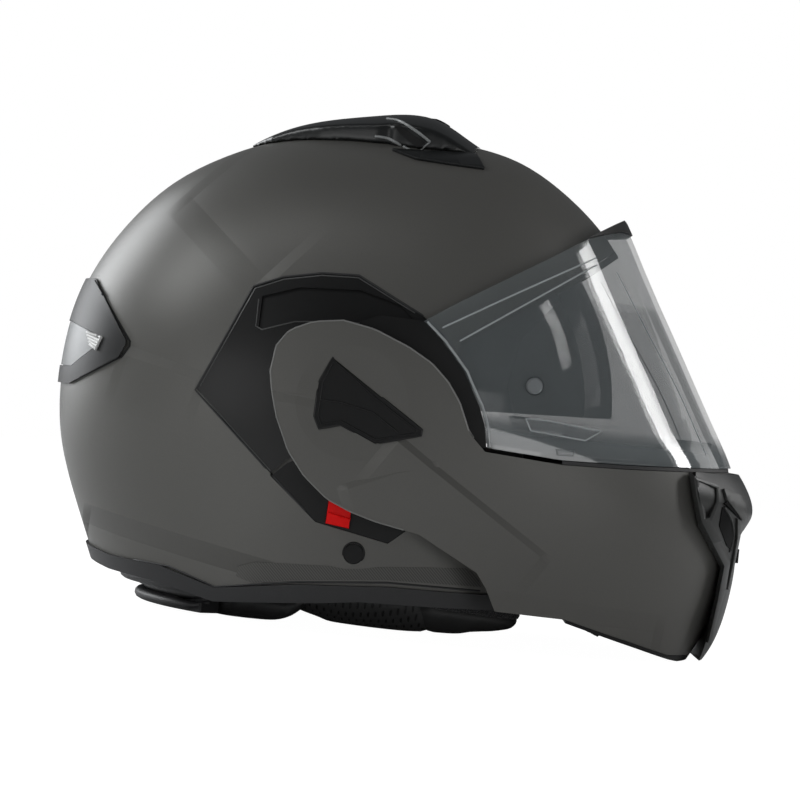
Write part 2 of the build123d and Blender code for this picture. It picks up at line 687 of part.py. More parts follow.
plate_outer = egg(
    chin_outline_shares, chin_reach - chin_wall - seat_gap * 2, chin_half_width - chin_wall - seat_gap * 2
)
plate_under = egg(round_outline_shares, arm_plate_reach, visor_half_width + running_gap * 2)
arm_inset_top = egg(chin_outline_shares, chin_reach + inset_stand, chin_half_width + inset_stand)
inset_under = egg(chin_outline_shares, chin_reach - inset_depth, chin_half_width - inset_depth)

for side, hand in ((-1, "right"), (1, "left")):
    with BuildPart() as chin_arm_plate:
        add(wall(plate_outer, plate_under, placed(arm_plate_shares), side))
        with BuildSketch(side_plane()):
            Circle(axle_radius + bearing_gap)
        extrude(amount=chin_half_width, both=True, mode=Mode.SUBTRACT)

    chin_arm_plate.part.label = f"chin_arm_plate_{hand}"
    export_step(chin_arm_plate.part, f"parts/chin_arm_plate_{hand}.step")

    with BuildPart() as arm_inset:
        add(wall(arm_inset_top, inset_under, placed(arm_inset_shares), side, grow=-seat_gap))

    arm_inset.part.label = f"arm_inset_{hand}"
    export_step(arm_inset.part, f"parts/arm_inset_{hand}.step")

# The padding inside the chin bar keeps clear of the shell when the chin bar flips back over it
padding_outer = egg(
    chin_outline_shares, chin_reach - chin_wall - seat_gap, chin_half_width - chin_wall - seat_gap
)
padding_inner = egg(round_outline_shares, padding_reach, shell_half_width + running_gap * 5)
padding_low = [(forward, up + cover_height) for forward, up in placed(chin_bottom_shares)]
padding_top = [(forward, up - seat_gap) for forward, up in chin_rim[1:]]
padding_side = [(padding_back, padding_top[0][1]), (padding_back, padding_low[0][1])] + padding_low
padding_side += [(ahead, padding_low[-1][1]), (ahead, padding_top[-1][1])]
padding_side += reversed(padding_top)

with BuildPart() as chin_bar_padding:
    add(wall(padding_outer, padding_inner, padding_side))
    with BuildSketch(plan_plane.offset(-cut_overrun * 2)):
        with Locations((button_forward, 0)):
            Rectangle(button_length + 2 * button_lip, button_width + 2 * button_lip)
    extrude(amount=cut_overrun * 2 - button_top_drop + spring_length, mode=Mode.SUBTRACT)
    for side in (-1, 1):
        with BuildSketch(side_plane(side * (hook_inner - seat_gap))):
            with Locations(hook_pocket_place):
                Rectangle(hook_pocket, hook_pocket)
        extrude(amount=-side * cut_overrun, mode=Mode.SUBTRACT)

chin_bar_padding.part.label = "chin_bar_padding"
export_step(chin_bar_padding.part, "parts/chin_bar_padding.step")

# The black cover under the chin bar, with the hole for the release button
cover_inner = egg(round_outline_shares, cover_reach, shell_half_width - cover_height)
cover_top = [(forward, up - seat_gap / 2) for forward, up in placed(chin_bottom_shares)]
cover_low = placed(cover_bottom_shares)

with BuildPart() as chin_base_cover:
    add(wall(chin_outer, cover_inner, cover_top + list(reversed(cover_low))))
    with BuildSketch(plan_plane.offset(-cut_overrun * 2)):
        with Locations((button_forward, 0)):
            Rectangle(button_length + 2 * running_gap, button_width + 2 * running_gap)
    extrude(amount=cut_overrun * 2, mode=Mode.SUBTRACT)

chin_base_cover.part.label = "chin_base_cover"
export_step(chin_base_cover.part, "parts/chin_base_cover.step")

with BuildPart() as release_button:
    with BuildSketch(plan_plane.offset(-button_face_drop)):
        with Locations((button_forward, 0)):
            Rectangle(button_length, button_width)
    extrude(amount=button_face_drop - button_top_drop - button_flange)
    with BuildSketch(plan_plane.offset(-button_top_drop - button_flange)):
        with Locations((button_forward, 0)):
            Rectangle(button_length + button_lip, button_width + button_lip)
    extrude(amount=button_flange)

release_button.part.label = "release_button"
export_step(release_button.part, "parts/release_button.step")

with BuildPart() as button_spring:
    with BuildSketch(plan_plane.offset(-button_top_drop + button_travel + running_gap)):
        with Locations((button_forward, 0)):
            Circle(spring_radius)
            Circle(spring_radius - spring_wire, mode=Mode.SUBTRACT)
    extrude(amount=spring_length - button_travel - 2 * running_gap)

button_spring.part.label = "button_spring"
export_step(button_spring.part, "parts/button_spring.step")

# The black mask on the front of the chin bar, with its vent
mask_outer = egg(mask_outline_shares, chin_reach, chin_half_width + mask_stand)
mask_top = chin_rim[-1][1] - 2 * seat_gap
mask_side = placed(mask_rear_shares)
mask_side += [(ahead, mask_side[-1][1]), (ahead, mask_top), (mask_side[0][0], mask_top)]
window_middle = -(window_top_drop + window_height / 2)

with BuildPart() as chin_mask:
    add(wall(mask_outer, chin_cover, mask_side))
    with BuildSketch(across_plane(1, 0)):
        with Locations((0, window_middle)):
            RectangleRounded(window_width, window_height, window_corner)
    extrude(amount=chin_reach + cut_overrun, mode=Mode.SUBTRACT)
    with BuildSketch(plan_plane.offset(-cut_overrun * 2)):
        with Locations((button_forward, 0)):
            Rectangle(button_length + 2 * button_lip, button_width + 2 * button_lip)
    extrude(amount=cut_overrun * 2 - button_top_drop + button_travel, mode=Mode.SUBTRACT)

chin_mask.part.label = "chin_mask"
export_step(chin_mask.part, "parts/chin_mask.step")

mesh_outer = egg(
    chin_outline_shares, chin_reach + seat_gap / 2 + mesh_thickness, chin_half_width + mesh_thickness
)
mesh_side = [
    (chin_reach / 2, window_middle + window_height / 2 - seat_gap),
    (ahead, window_middle + window_height / 2 - seat_gap),
    (ahead, window_middle - window_height / 2 + seat_gap),
    (chin_reach / 2, window_middle - window_height / 2 + seat_gap),
]

with BuildPart() as chin_vent_mesh:
    add(wall(mesh_outer, chin_cover, mesh_side))
    with BuildSketch(across_plane(1, 0)):
        with Locations((0, window_middle)):
            RectangleRounded(
                window_width - 2 * seat_gap, window_height - 2 * seat_gap, window_corner - seat_gap
            )
    extrude(amount=chin_reach + cut_overrun, mode=Mode.INTERSECT)

chin_vent_mesh.part.label = "chin_vent_mesh"
export_step(chin_vent_mesh.part, "parts/chin_vent_mesh.step")

window_foot = window_middle - window_height / 2

with BuildPart() as chin_vent_slider:
    with BuildSketch(side_plane()):
        with Locations((vent_slider_forward, window_foot + running_gap + vent_slider_height / 2)):
            Rectangle(vent_slider_depth, vent_slider_height)
    extrude(amount=window_width / 2 - window_corner, both=True)

chin_vent_slider.part.label = "chin_vent_slider"
export_step(chin_vent_slider.part, "parts/chin_vent_slider.step")

# Latches: a pin in each side of the shell, and a hook in the chin bar that closes round it
with BuildPart() as latch_strikers:
    for side in (-1, 1):
        with BuildSketch(side_plane(side * striker_inner)):
            with Locations(striker_place):
                Circle(striker_radius)
        extrude(amount=-side * (striker_outer - striker_inner))
        with BuildSketch(side_plane(side * striker_inner)):
            with Locations(striker_place):
                Circle(striker_head_radius)
        extrude(amount=-side * striker_head)

latch_strikers.part.label = "latch_strikers"
export_step(latch_strikers.part, "parts/latch_strikers.step")

striker_angle = math.degrees(math.atan2(striker_place[1], striker_place[0]))

for side, hand in ((-1, "right"), (1, "left")):
    hook_plane = Plane(
        origin=(striker_place[0] - hinge_setback, side * hook_inner, striker_place[1] + hinge_height),
        x_dir=(
            -math.sin(math.radians(striker_angle)),
            0,
            math.cos(math.radians(striker_angle)),
        ),
        z_dir=(0, -1, 0),
    )
    with BuildPart() as latch_hook:
        with BuildSketch(hook_plane):
            with BuildLine():
                Polyline(
                    (striker_radius + running_gap * 2, hook_half),
                    (hook_length, hook_half),
                    (hook_length, -hook_half),
                    (-striker_radius, -hook_half),
                    (-striker_radius, -striker_radius - running_gap * 2),
                    (striker_radius + running_gap * 2, -striker_radius - running_gap * 2),
                    close=True,
                )
            make_face()
        extrude(amount=-side * hook_thickness)

    latch_hook.part.label = f"latch_hook_{hand}"
    export_step(latch_hook.part, f"parts/latch_hook_{hand}.step")

# Soft fittings of the chin bar: breath guard and chin curtain
guard_outer = egg(round_outline_shares, guard_reach, guard_half_width)
guard_inner = egg(round_outline_shares, guard_reach - guard_thickness, guard_half_width - guard_thickness)
guard_foot = padding_top[-1][1]
guard_side = [
    (guard_back, guard_foot + seat_gap),
    (ahead, guard_foot + seat_gap),
    (ahead, guard_foot + guard_height),
    (guard_back + guard_height, guard_foot + guard_height),
]

with BuildPart() as breath_guard:
    add(wall(guard_outer, guard_inner, guard_side))

breath_guard.part.label = "breath_guard"
export_step(breath_guard.part, "parts/breath_guard.step")

curtain_outer = egg(
    round_outline_shares, cover_reach - seat_gap * 2, shell_half_width - cover_height - seat_gap * 2
)
curtain_inner = egg(round_outline_shares, curtain_reach, curtain_half_width)

with BuildPart() as chin_curtain:
    add(wall(curtain_outer, curtain_inner, placed(curtain_shares)))
    curtain_face = chin_curtain.faces().filter_by(GeomType.PLANE).sort_by(SortBy.AREA)[-1]
    fillet(curtain_face.edges(), radius=curtain_round)

chin_curtain.part.label = "chin_curtain"
export_step(chin_curtain.part, "parts/chin_curtain.step")

# The seal on the chin bar's top edge, where the visor closes
seal_outer = egg(chin_outline_shares, chin_reach - seat_gap, chin_half_width - seat_gap)
seal_side = [(forward, up - seat_gap) for forward, up in visor_lower]
seal_side += [(forward, up - seal_height - seat_gap) for forward, up in reversed(visor_lower)]

with BuildPart() as visor_seal:
    add(wall(seal_outer, chin_inner, seal_side))

visor_seal.part.label = "visor_seal"
export_step(visor_seal.part, "parts/visor_seal.step")

# The clear visor, the arms that carry it, and what is fixed to it
visor_outer = egg(visor_outline_shares, visor_reach, visor_half_width)
visor_inner = egg(visor_outline_shares, visor_reach - visor_wall, visor_half_width - visor_wall)
lip_outer = egg(visor_outline_shares, visor_reach + lip_stand, visor_half_width + lip_stand)
insert_outer = egg(
    visor_outline_shares, visor_reach - visor_wall - seat_gap, visor_half_width - visor_wall - seat_gap
)
insert_inner = egg(
    visor_outline_shares,
    visor_reach - visor_wall - seat_gap - insert_thickness,
    visor_half_width - visor_wall - seat_gap - insert_thickness,
)
visor_top = placed(visor_top_shares)
visor_side = placed(visor_rear_shares) + visor_lower
visor_side += [(ahead, visor_lower[-1][1]), (ahead, visor_top[0][1])]
visor_side += visor_top

with BuildPart() as visor_lens:
    add(wall(visor_outer, visor_inner, visor_side))
    with BuildSketch(side_plane()):
        with Locations(insert_pin_place):
            Circle(insert_pin_radius + fit_gap)
    extrude(amount=chin_half_width, both=True, mode=Mode.SUBTRACT)

visor_lens.part.label = "visor_lens"
export_step(visor_lens.part, "parts/visor_lens.step")

with BuildPart() as visor_lip:
    add(wall(lip_outer, visor_inner, placed(lip_shares)))

visor_lip.part.label = "visor_lip"
export_step(visor_lip.part, "parts/visor_lip.step")

with BuildPart() as anti_fog_insert:
    add(wall(insert_outer, insert_inner, placed(insert_shares)))
    with BuildSketch(side_plane()):
        with Locations(insert_pin_place):
            Circle(insert_pin_radius + fit_gap)
    extrude(amount=chin_half_width, both=True, mode=Mode.SUBTRACT)

anti_fog_insert.part.label = "anti_fog_insert"
export_step(anti_fog_insert.part, "parts/anti_fog_insert.step")

with BuildPart() as anti_fog_pins:
    for side in (-1, 1):
        with BuildSketch(side_plane(side * insert_pin_inner)):
            with Locations(insert_pin_place):
                Circle(insert_pin_radius)
        extrude(amount=-side * insert_pin_length)

anti_fog_pins.part.label = "anti_fog_pins"
export_step(anti_fog_pins.part, "parts/anti_fog_pins.step")

for side, hand in ((-1, "right"), (1, "left")):
    with BuildPart() as visor_arm:
        arm_front = [(forward - seat_gap, up) for forward, up in placed(visor_rear_shares)]
        add(wall(visor_outer, visor_inner, arm_front + placed(visor_arm_shares), side))
        with BuildSketch(side_plane()):
            Circle(axle_radius + bearing_gap)
        extrude(amount=chin_half_width, both=True, mode=Mode.SUBTRACT)

    visor_arm.part.label = f"visor_arm_{hand}"
    export_step(visor_arm.part, f"parts/visor_arm_{hand}.step")

# The fabric lining: crown pad, cheek pads and neck roll
comfort_outer = egg(head_outline_shares, cavity_reach - seat_gap, cavity_half_width - seat_gap)
comfort_inner = egg(head_outline_shares, head_reach, head_half_width)
cheek_inner = egg(head_outline_shares, cheek_reach, cheek_half_width)
roll_outer = egg(
    shell_outline_shares,
    shell_reach - shell_wall - trim_stand - seat_gap,
    shell_half_width - shell_wall - trim_stand - seat_gap,
)
roll_inner = egg(head_outline_shares, roll_reach, roll_half_width)

with BuildPart() as comfort_liner:
    add(wall(comfort_outer, comfort_inner, placed(comfort_shares)))

comfort_liner.part.label = "comfort_liner"
export_step(comfort_liner.part, "parts/comfort_liner.step")


def skirt_curve(setback):
    """The plan of the neck opening's rear, from the wearer's left round to the right."""
    left = [(-setback * back, setback * out) for back, out in skirt_plan_shares]
    return left + [(-setback * back, -setback * out) for back, out in reversed(skirt_plan_shares[:-1])]


# The ribbed rubber skirt closes the gap between the trim and the neck roll at the back
with BuildPart() as rear_skirt:
    for drop_share, height_share, setback_share in skirt_rib_shares:
        outer_curve = skirt_curve(setback_share * shell_reach)
        inner_curve = skirt_curve(skirt_inner_share * shell_reach)
        with BuildSketch(plan_plane.offset(-(drop_share + height_share) * shell_reach)):
            with BuildLine():
                Spline(*outer_curve)
                Line(outer_curve[-1], inner_curve[-1])
                Spline(*reversed(inner_curve))
                Line(inner_curve[0], outer_curve[0])
            make_face()
        extrude(amount=height_share * shell_reach)

rear_skirt.part.label = "rear_skirt"
export_step(rear_skirt.part, "parts/rear_skirt.step")

with BuildPart() as neck_roll:
    roll_curve = skirt_curve(skirt_inner_share * shell_reach - seat_gap)
    add(wall(roll_outer, roll_inner, placed(roll_shares)))
    with BuildSketch(plan_plane.offset(-cut_overrun * 2)):
        with BuildLine():
            Spline(*roll_curve)
            Line(roll_curve[-1], (chin_reach, -chin_reach))
            Line((chin_reach, -chin_reach), (chin_reach, chin_reach))
            Line((chin_reach, chin_reach), roll_curve[0])
        make_face()
    extrude(amount=cut_overrun * 2, mode=Mode.INTERSECT)
    roll_face = neck_roll.faces().filter_by(GeomType.BSPLINE).sort_by(SortBy.AREA)[-1]
    fillet(roll_face.edges(), radius=roll_round)

neck_roll.part.label = "neck_roll"
export_step(neck_roll.part, "parts/neck_roll.step")

# The chin strap runs from a rivet in each side of the shell to the buckle under the chin

def strap_band(side, end, grow=0):
    """The strap's flat band from its rivet to this far from the middle."""
    middle = placed([(0, drop) for drop in strap_drop_shares])
    drops = [drop for across, drop in middle]
    route = [
        (strap_inner, cap_place[1] + strap_width / 2 + grow),
        (strap_inner, drops[0]),
        (strap_inner * strap_turn_share, drops[1]),
        (end + strap_thickness / 2 + seat_gap - grow * 2, drops[2]),
    ]
    with BuildPart() as band:
        with BuildSketch(across_plane(side, cap_place[0] - hinge_setback - strap_width / 2 - grow)):
            with BuildLine():
                Polyline(*route)
                offset(amount=strap_thickness / 2 + grow, side=Side.BOTH)
            make_face()
        extrude(amount=side * (strap_width + 2 * grow))
    return band.part


for side, hand in ((-1, "right"), (1, "left")):
    with BuildPart() as chin_strap:
        add(strap_band(side, strap_end))
        with BuildSketch(side_plane()):
            with Locations(cap_place):
                Circle(rivet_radius + seat_gap)
        extrude(amount=chin_half_width, both=True, mode=Mode.SUBTRACT)

    chin_strap.part.label = f"chin_strap_{hand}"
    export_step(chin_strap.part, f"parts/chin_strap_{hand}.step")

    with BuildPart() as cheek_pad:
        add(wall(comfort_outer, cheek_inner, placed(cheek_shares), side))
        add(pillow(cheek_pillow_shares, cheek_middle_share, cheek_swell_shares, side), mode=Mode.INTERSECT)
        add(strap_band(side, strap_end, grow=strap_play), mode=Mode.SUBTRACT)

    cheek_pad.part.label = f"cheek_pad_{hand}"
    export_step(cheek_pad.part, f"parts/cheek_pad_{hand}.step")

with BuildPart() as strap_anchor_caps:
    for side in (-1, 1):
        with BuildSketch(side_plane(side * cap_inner)):
            with Locations(cap_place):
                Circle(cap_radius)
        extrude(amount=-side * cap_depth)

strap_anchor_caps.part.label = "strap_anchor_caps"
export_step(strap_anchor_caps.part, "parts/strap_anchor_caps.step")

with BuildPart() as strap_anchor_rivets:
    for side in (-1, 1):
        rivet_inner = strap_inner - strap_thickness / 2 - seat_gap
        with BuildSketch(side_plane(side * rivet_inner)):
            with Locations(cap_place):
                Circle(rivet_radius)
        extrude(amount=-side * (cap_inner - seat_gap - rivet_inner))
        with BuildSketch(side_plane(side * rivet_inner)):
            with Locations(cap_place):
                Circle(rivet_head_radius)
        extrude(amount=side * rivet_head)

strap_anchor_rivets.part.label = "strap_anchor_rivets"
export_step(strap_anchor_rivets.part, "parts/strap_anchor_rivets.step")

# The buckle under the chin: the toothed tongue slides into the housing, and a lever frees it
buckle_level = placed([(0, strap_drop_shares[-1])])[0][1]
buckle_plan = Plane(
    origin=(cap_place[0] - hinge_setback, 0, hinge_height + buckle_level), x_dir=(1, 0, 0), z_dir=(0, 0, 1)
)

with BuildPart() as buckle_housing:
    with BuildSketch(buckle_plan.offset(-buckle_depth / 2)):
        with Locations((0, strap_end - seat_gap - buckle_length / 2)):
            RectangleRounded(buckle_width, buckle_length, buckle_corner)
    extrude(amount=buckle_depth)
    with BuildSketch(buckle_plan.offset(-tongue_thickness / 2 - running_gap)):
        with Locations((0, -buckle_wall)):
            Rectangle(tongue_width + 2 * running_gap, 2 * (strap_end - buckle_wall))
    extrude(amount=tongue_thickness + 2 * running_gap, mode=Mode.SUBTRACT)

buckle_housing.part.label = "buckle_housing"
export_step(buckle_housing.part, "parts/buckle_housing.step")

with BuildPart() as buckle_tongue:
    with BuildSketch(buckle_plan.offset(-tongue_thickness / 2)):
        with Locations((0, (tongue_reach - strap_end + seat_gap) / 2)):
            Rectangle(tongue_width, tongue_reach + strap_end - seat_gap)
    extrude(amount=tongue_thickness)

buckle_tongue.part.label = "buckle_tongue"
export_step(buckle_tongue.part, "parts/buckle_tongue.step")

with BuildPart() as buckle_lever:
    with BuildSketch(buckle_plan.offset(-buckle_depth / 2 - running_gap - lever_thickness)):
        with Locations((0, strap_end - seat_gap - buckle_length / 2)):
            RectangleRounded(lever_width, buckle_length, buckle_corner)
    extrude(amount=lever_thickness)

buckle_lever.part.label = "buckle_lever"
export_step(buckle_lever.part, "parts/buckle_lever.step")

# The sun visor's slider on the wearer's left, at the shell's lower edge
knob_place = (slot_place[0] - slider_travel / 2, slot_place[1])

with BuildPart() as sun_visor_slider:
    with BuildSketch(side_plane(slider_stem_inner)):
        with Locations(knob_place):
            SlotOverall(slider_stem, slider_stem_height)
    extrude(amount=-(slider_knob_inner - slider_stem_inner))
    with BuildSketch(side_plane(slider_knob_inner)):
        with Locations(knob_place):
            SlotOverall(slider_knob, slider_knob_height)
    extrude(amount=-slider_knob_depth)

sun_visor_slider.part.label = "sun_visor_slider"
export_step(sun_visor_slider.part, "parts/sun_visor_slider.step")
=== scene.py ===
# %% [markdown]
# # A modular motorcycle helmet
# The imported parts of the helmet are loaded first. They hold every rigid piece at its true size and
# place, so this lesson dresses them: it gives each one a finish, replaces the soft ones with sewn pads,
# and adds the fine pieces that show from a step away.

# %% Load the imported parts
import json
import math

import bpy
from mathutils import Matrix, Vector
from mathutils.bvhtree import BVHTree


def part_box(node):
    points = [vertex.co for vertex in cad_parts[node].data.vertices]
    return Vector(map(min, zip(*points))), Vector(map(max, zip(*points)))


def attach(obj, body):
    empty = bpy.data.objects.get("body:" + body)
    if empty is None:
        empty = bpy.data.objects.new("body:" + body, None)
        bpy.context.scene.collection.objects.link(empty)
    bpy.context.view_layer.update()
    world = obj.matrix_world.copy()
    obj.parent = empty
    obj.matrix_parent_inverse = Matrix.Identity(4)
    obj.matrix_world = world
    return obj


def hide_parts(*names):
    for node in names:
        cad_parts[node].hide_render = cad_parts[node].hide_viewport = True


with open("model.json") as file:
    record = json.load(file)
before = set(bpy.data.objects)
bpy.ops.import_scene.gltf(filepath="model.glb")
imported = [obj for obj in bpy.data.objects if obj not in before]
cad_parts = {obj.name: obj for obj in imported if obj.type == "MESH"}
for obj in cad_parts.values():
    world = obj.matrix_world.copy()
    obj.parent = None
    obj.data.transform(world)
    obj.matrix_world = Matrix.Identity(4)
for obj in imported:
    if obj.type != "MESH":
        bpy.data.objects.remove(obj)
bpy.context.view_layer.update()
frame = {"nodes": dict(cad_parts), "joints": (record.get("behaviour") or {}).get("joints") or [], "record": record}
nodes = frame["nodes"]
mm = 0.001
print("packed parts:", len(nodes))

# %% [markdown]
# ## The view
# The photograph looks at the wearer's right side, square on, with the helmet tipped back a little, so the
# camera stands 1.6 m away and is rolled by the same small angle. A long lens keeps the sides parallel.
# Places that were read from the photograph are turned into millimetres with the same numbers: forward and
# up from the hinge that carries the chin bar and the visors.

# %% The camera and the hinge that all places are measured from
hinge_place = Vector(frame["joints"][0]["pos_m"])
camera_distance = 1.6
camera_roll = math.radians(6)
pixel_size = 0.51 * mm
photo_middle = 400
hinge_pixel = (356, 402)

camera_data = bpy.data.cameras.new("camera")
camera_data.sensor_width = 36
camera_data.lens = camera_data.sensor_width * mm * camera_distance / (pixel_size * 2 * photo_middle) / mm
camera = bpy.data.objects.new("camera", camera_data)
bpy.context.scene.collection.objects.link(camera)
bpy.context.scene.camera = camera
right = Vector((math.cos(camera_roll), 0, math.sin(camera_roll)))
up = Vector((-math.sin(camera_roll), 0, math.cos(camera_roll)))
middle = (
    hinge_place
    + right * (photo_middle - hinge_pixel[0]) * pixel_size
    + up * (hinge_pixel[1] - photo_middle) * pixel_size
)
turned = Matrix((right, up, Vector((0, -1, 0)))).transposed().to_4x4()
turned.translation = middle - Vector((0, camera_distance, 0))
camera.matrix_world = turned
eye = turned.translation.copy()
print("lens:", round(camera_data.lens, 1), "mm, camera at", [round(value, 3) for value in turned.translation])


def photo_point(across, down, depth):
    """A place in the row frame, from a place in the photograph and its distance to the wearer's right."""
    scale = pixel_size * (camera_distance - depth * mm) / camera_distance
    place = middle + right * (across - photo_middle) * scale + up * (photo_middle - down) * scale
    return Vector((place.x, -depth * mm, place.z))


# %% Helpers for shader nodes


def fed(tree, node, **values):
    """The node, with its inputs set by value or linked from another node's output."""
    for label, value in values.items():
        if label.startswith("set_"):
            setattr(node, label[4:], value)
            continue
        socket = node.inputs[int(label[1:])] if label[0] == "_" else node.inputs[label.replace("_", " ")]
        if isinstance(value, bpy.types.NodeSocket):
            tree.links.new(value, socket)
        else:
            socket.default_value = value
    return node


def linked(tree, kind, **values):
    """A new node with its inputs set or linked."""
    return fed(tree, tree.nodes.new(kind), **values)


def sums(tree, operation, *values, kind="Math", clamp=None):
    """One step of arithmetic on numbers, places or other nodes' outputs: the new node's output."""
    settings = {f"_{index}": value for index, value in enumerate(values)}
    if clamp:
        settings["set_use_clamp"] = True
    node = linked(tree, "ShaderNode" + kind, set_operation=operation, **settings)
    return node.outputs["Value" if operation == "DOT_PRODUCT" else 0]


def node_group(name, inputs, outputs):
    """An empty shader node group with its sockets: the group, its inputs and its end node."""
    group = bpy.data.node_groups.new(name, "ShaderNodeTree")
    for label, value in inputs.items():
        kind = "NodeSocketVector" if value is None else "NodeSocketFloat"
        socket = group.interface.new_socket(name=label, in_out="INPUT", socket_type=kind)
        if value is not None:
            socket.default_value = value
    for label in outputs:
        group.interface.new_socket(name=label, in_out="OUTPUT", socket_type="NodeSocketFloat")
    return group, group.nodes.new("NodeGroupInput").outputs, group.nodes.new("NodeGroupOutput")


# %% [markdown]
# ## The room
# A pale floor and a white surround, as in a product photograph. What the camera sees of the surround, by
# itself or through a lens, is white. What a mirror sees of it, and what lights the helmet, is a plain grey,
# and soft lamps do the rest.

# %% The surround, the floor and the lamps
scene = bpy.context.scene
scene.view_settings.view_transform = "Standard"
scene.world = bpy.data.worlds.new("surround")
scene.world.use_nodes = True
tree = scene.world.node_tree
tree.nodes.clear()
seen = linked(tree, "ShaderNodeBackground", Color=(1, 1, 1, 1))
lighting = linked(tree, "ShaderNodeBackground", Color=(0.93, 0.96, 1, 1), Strength=0.1)
rays = tree.nodes.new("ShaderNodeLightPath").outputs
either = sums(tree, "MAXIMUM", rays["Is Camera Ray"], rays["Is Transmission Ray"])
mix = linked(tree, "ShaderNodeMixShader", _0=either, _1=lighting.outputs[0], _2=seen.outputs[0])
linked(tree, "ShaderNodeOutputWorld", Surface=mix.outputs[0])

bpy.ops.object.select_all(action="DESELECT")
bpy.ops.mesh.primitive_plane_add(size=6, location=(0, 0, -0.0005))
floor = bpy.context.object
floor.name = "floor"


def area_lamp(name, place, aim, size, power, tint=(1, 1, 1)):
    """A soft box: a rectangular lamp that faces a point."""
    data = bpy.data.lights.new(name, "AREA")
    data.shape = "RECTANGLE"
    data.size, data.size_y = size
    data.energy = power
    data.color = tint
    lamp = bpy.data.objects.new(name, data)
    scene.collection.objects.link(lamp)
    lamp.location = place
    lamp.rotation_euler = (Vector(aim) - Vector(place)).to_track_quat("-Z", "Y").to_euler()


area_lamp("rim", (-1.5, 0.95, 0.7), (-0.12, 0, 0.13), (1.1, 1.2), 25, (0.96, 0.98, 1))
area_lamp("rear_side", (-1.35, -0.6, 1.1), (-0.1, 0, 0.15), (0.7, 0.6), 8, (0.97, 0.99, 1))
area_lamp("low_left", (-0.9, -1.5, 0.1), (-0.05, -0.1, 0.06), (0.9, 0.5), 3.2)
area_lamp("low_right", (1.0, -1.45, 0.08), (0.08, -0.1, 0.05), (0.9, 0.5), 3.4)
area_lamp("strip", (1.5, 0.1, 0.82), (0.1, -0.08, 0.14), (0.3, 0.55), 7)
area_lamp("front", (1.45, 0.85, 0.5), (0.12, 0, 0.12), (0.7, 0.6), 2)
area_lamp("upper_side", (-0.5, -0.85, 1.5), (-0.05, -0.05, 0.15), (0.6, 0.5), 1.6)

# %% [markdown]
# ## Finishes
# The soft grain of moulded plastic and paint is shared by nearly all finishes, so it is built once, as a
# node group with named inputs and outputs. The group only puts out values, and each finish keeps its own
# shader. The mesh fabric and the perforated leatherette add their own cells and holes to it.

# %% Grain: two sizes of noise, for a height, a roughness and a tint that vary over a surface
grain, given, end = node_group(
    "surface_grain",
    {"Vector": None, "Fine": 900.0, "Broad": 18.0, "Roughness": 0.5, "Spread": 0.06},
    ("Height", "Roughness", "Shade"),
)
fine = linked(grain, "ShaderNodeTexNoise", Vector=given["Vector"], Scale=given["Fine"]).outputs["Fac"]
broad = linked(grain, "ShaderNodeTexNoise", Vector=given["Vector"], Scale=given["Broad"]).outputs["Fac"]
lift = sums(grain, "SUBTRACT", broad, 0.5)
rough = sums(grain, "MULTIPLY_ADD", lift, given["Spread"], given["Roughness"])
shade = sums(grain, "MULTIPLY_ADD", lift, 0.3, sums(grain, "MULTIPLY_ADD", fine, 0.35, 0.32))
for result, label in ((fine, "Height"), (rough, "Roughness"), (shade, "Shade")):
    grain.links.new(result, end.inputs[label])


def new_finish(name):
    """A material with its node tree, its shader, and the Object coordinates that its patterns read."""
    finish = bpy.data.materials.new(name)
    finish.use_nodes = True
    tree = finish.node_tree
    place = tree.nodes.new("ShaderNodeTexCoord").outputs["Object"]
    return finish, tree, tree.nodes["Principled BSDF"], place


def grain_at(tree, place, fine, broad, roughness, spread):
    """The outputs of one use of the grain."""
    return linked(tree, "ShaderNodeGroup", set_node_tree=grain, Vector=place, Fine=fine, Broad=broad,
                  Roughness=roughness, Spread=spread).outputs


def paint(tree, shader, factor, dark, light, roughness):
    """Feeds a shader a mix of two colours and a roughness."""
    colours = linked(tree, "ShaderNodeMix", set_data_type="RGBA", Factor=factor)
    colours.inputs["A"].default_value = (*dark, 1)
    colours.inputs["B"].default_value = (*light, 1)
    fed(tree, shader, Base_Color=colours.outputs["Result"], Roughness=roughness)


def emboss(tree, shader, height, strength, depth):
    """Feeds a shader the relief of a height."""
    relief = linked(tree, "ShaderNodeBump", Strength=strength, Distance=depth, Height=height)
    fed(tree, shader, Normal=relief.outputs["Normal"])


def grained(name, dark, light, roughness, fine=900.0, broad=18.0, spread=0.06, bump=0.1, depth=0.0002,
            metallic=0.0, gloss=0.5, sheen=0.0):
    """A plain moulded or painted finish: two close colours, a fine grain and a soft change of gloss."""
    finish, tree, shader, place = new_finish(name)
    texture = grain_at(tree, place, fine, broad, roughness, spread)
    paint(tree, shader, texture["Shade"], dark, light, texture["Roughness"])
    emboss(tree, shader, texture["Height"], bump, depth)
    fed(tree, shader, Metallic=metallic, Specular_IOR_Level=gloss, Sheen_Weight=sheen)
    return finish


def greys(*levels):
    """Neutral colours, one for each level."""
    return [(level, level, level) for level in levels]


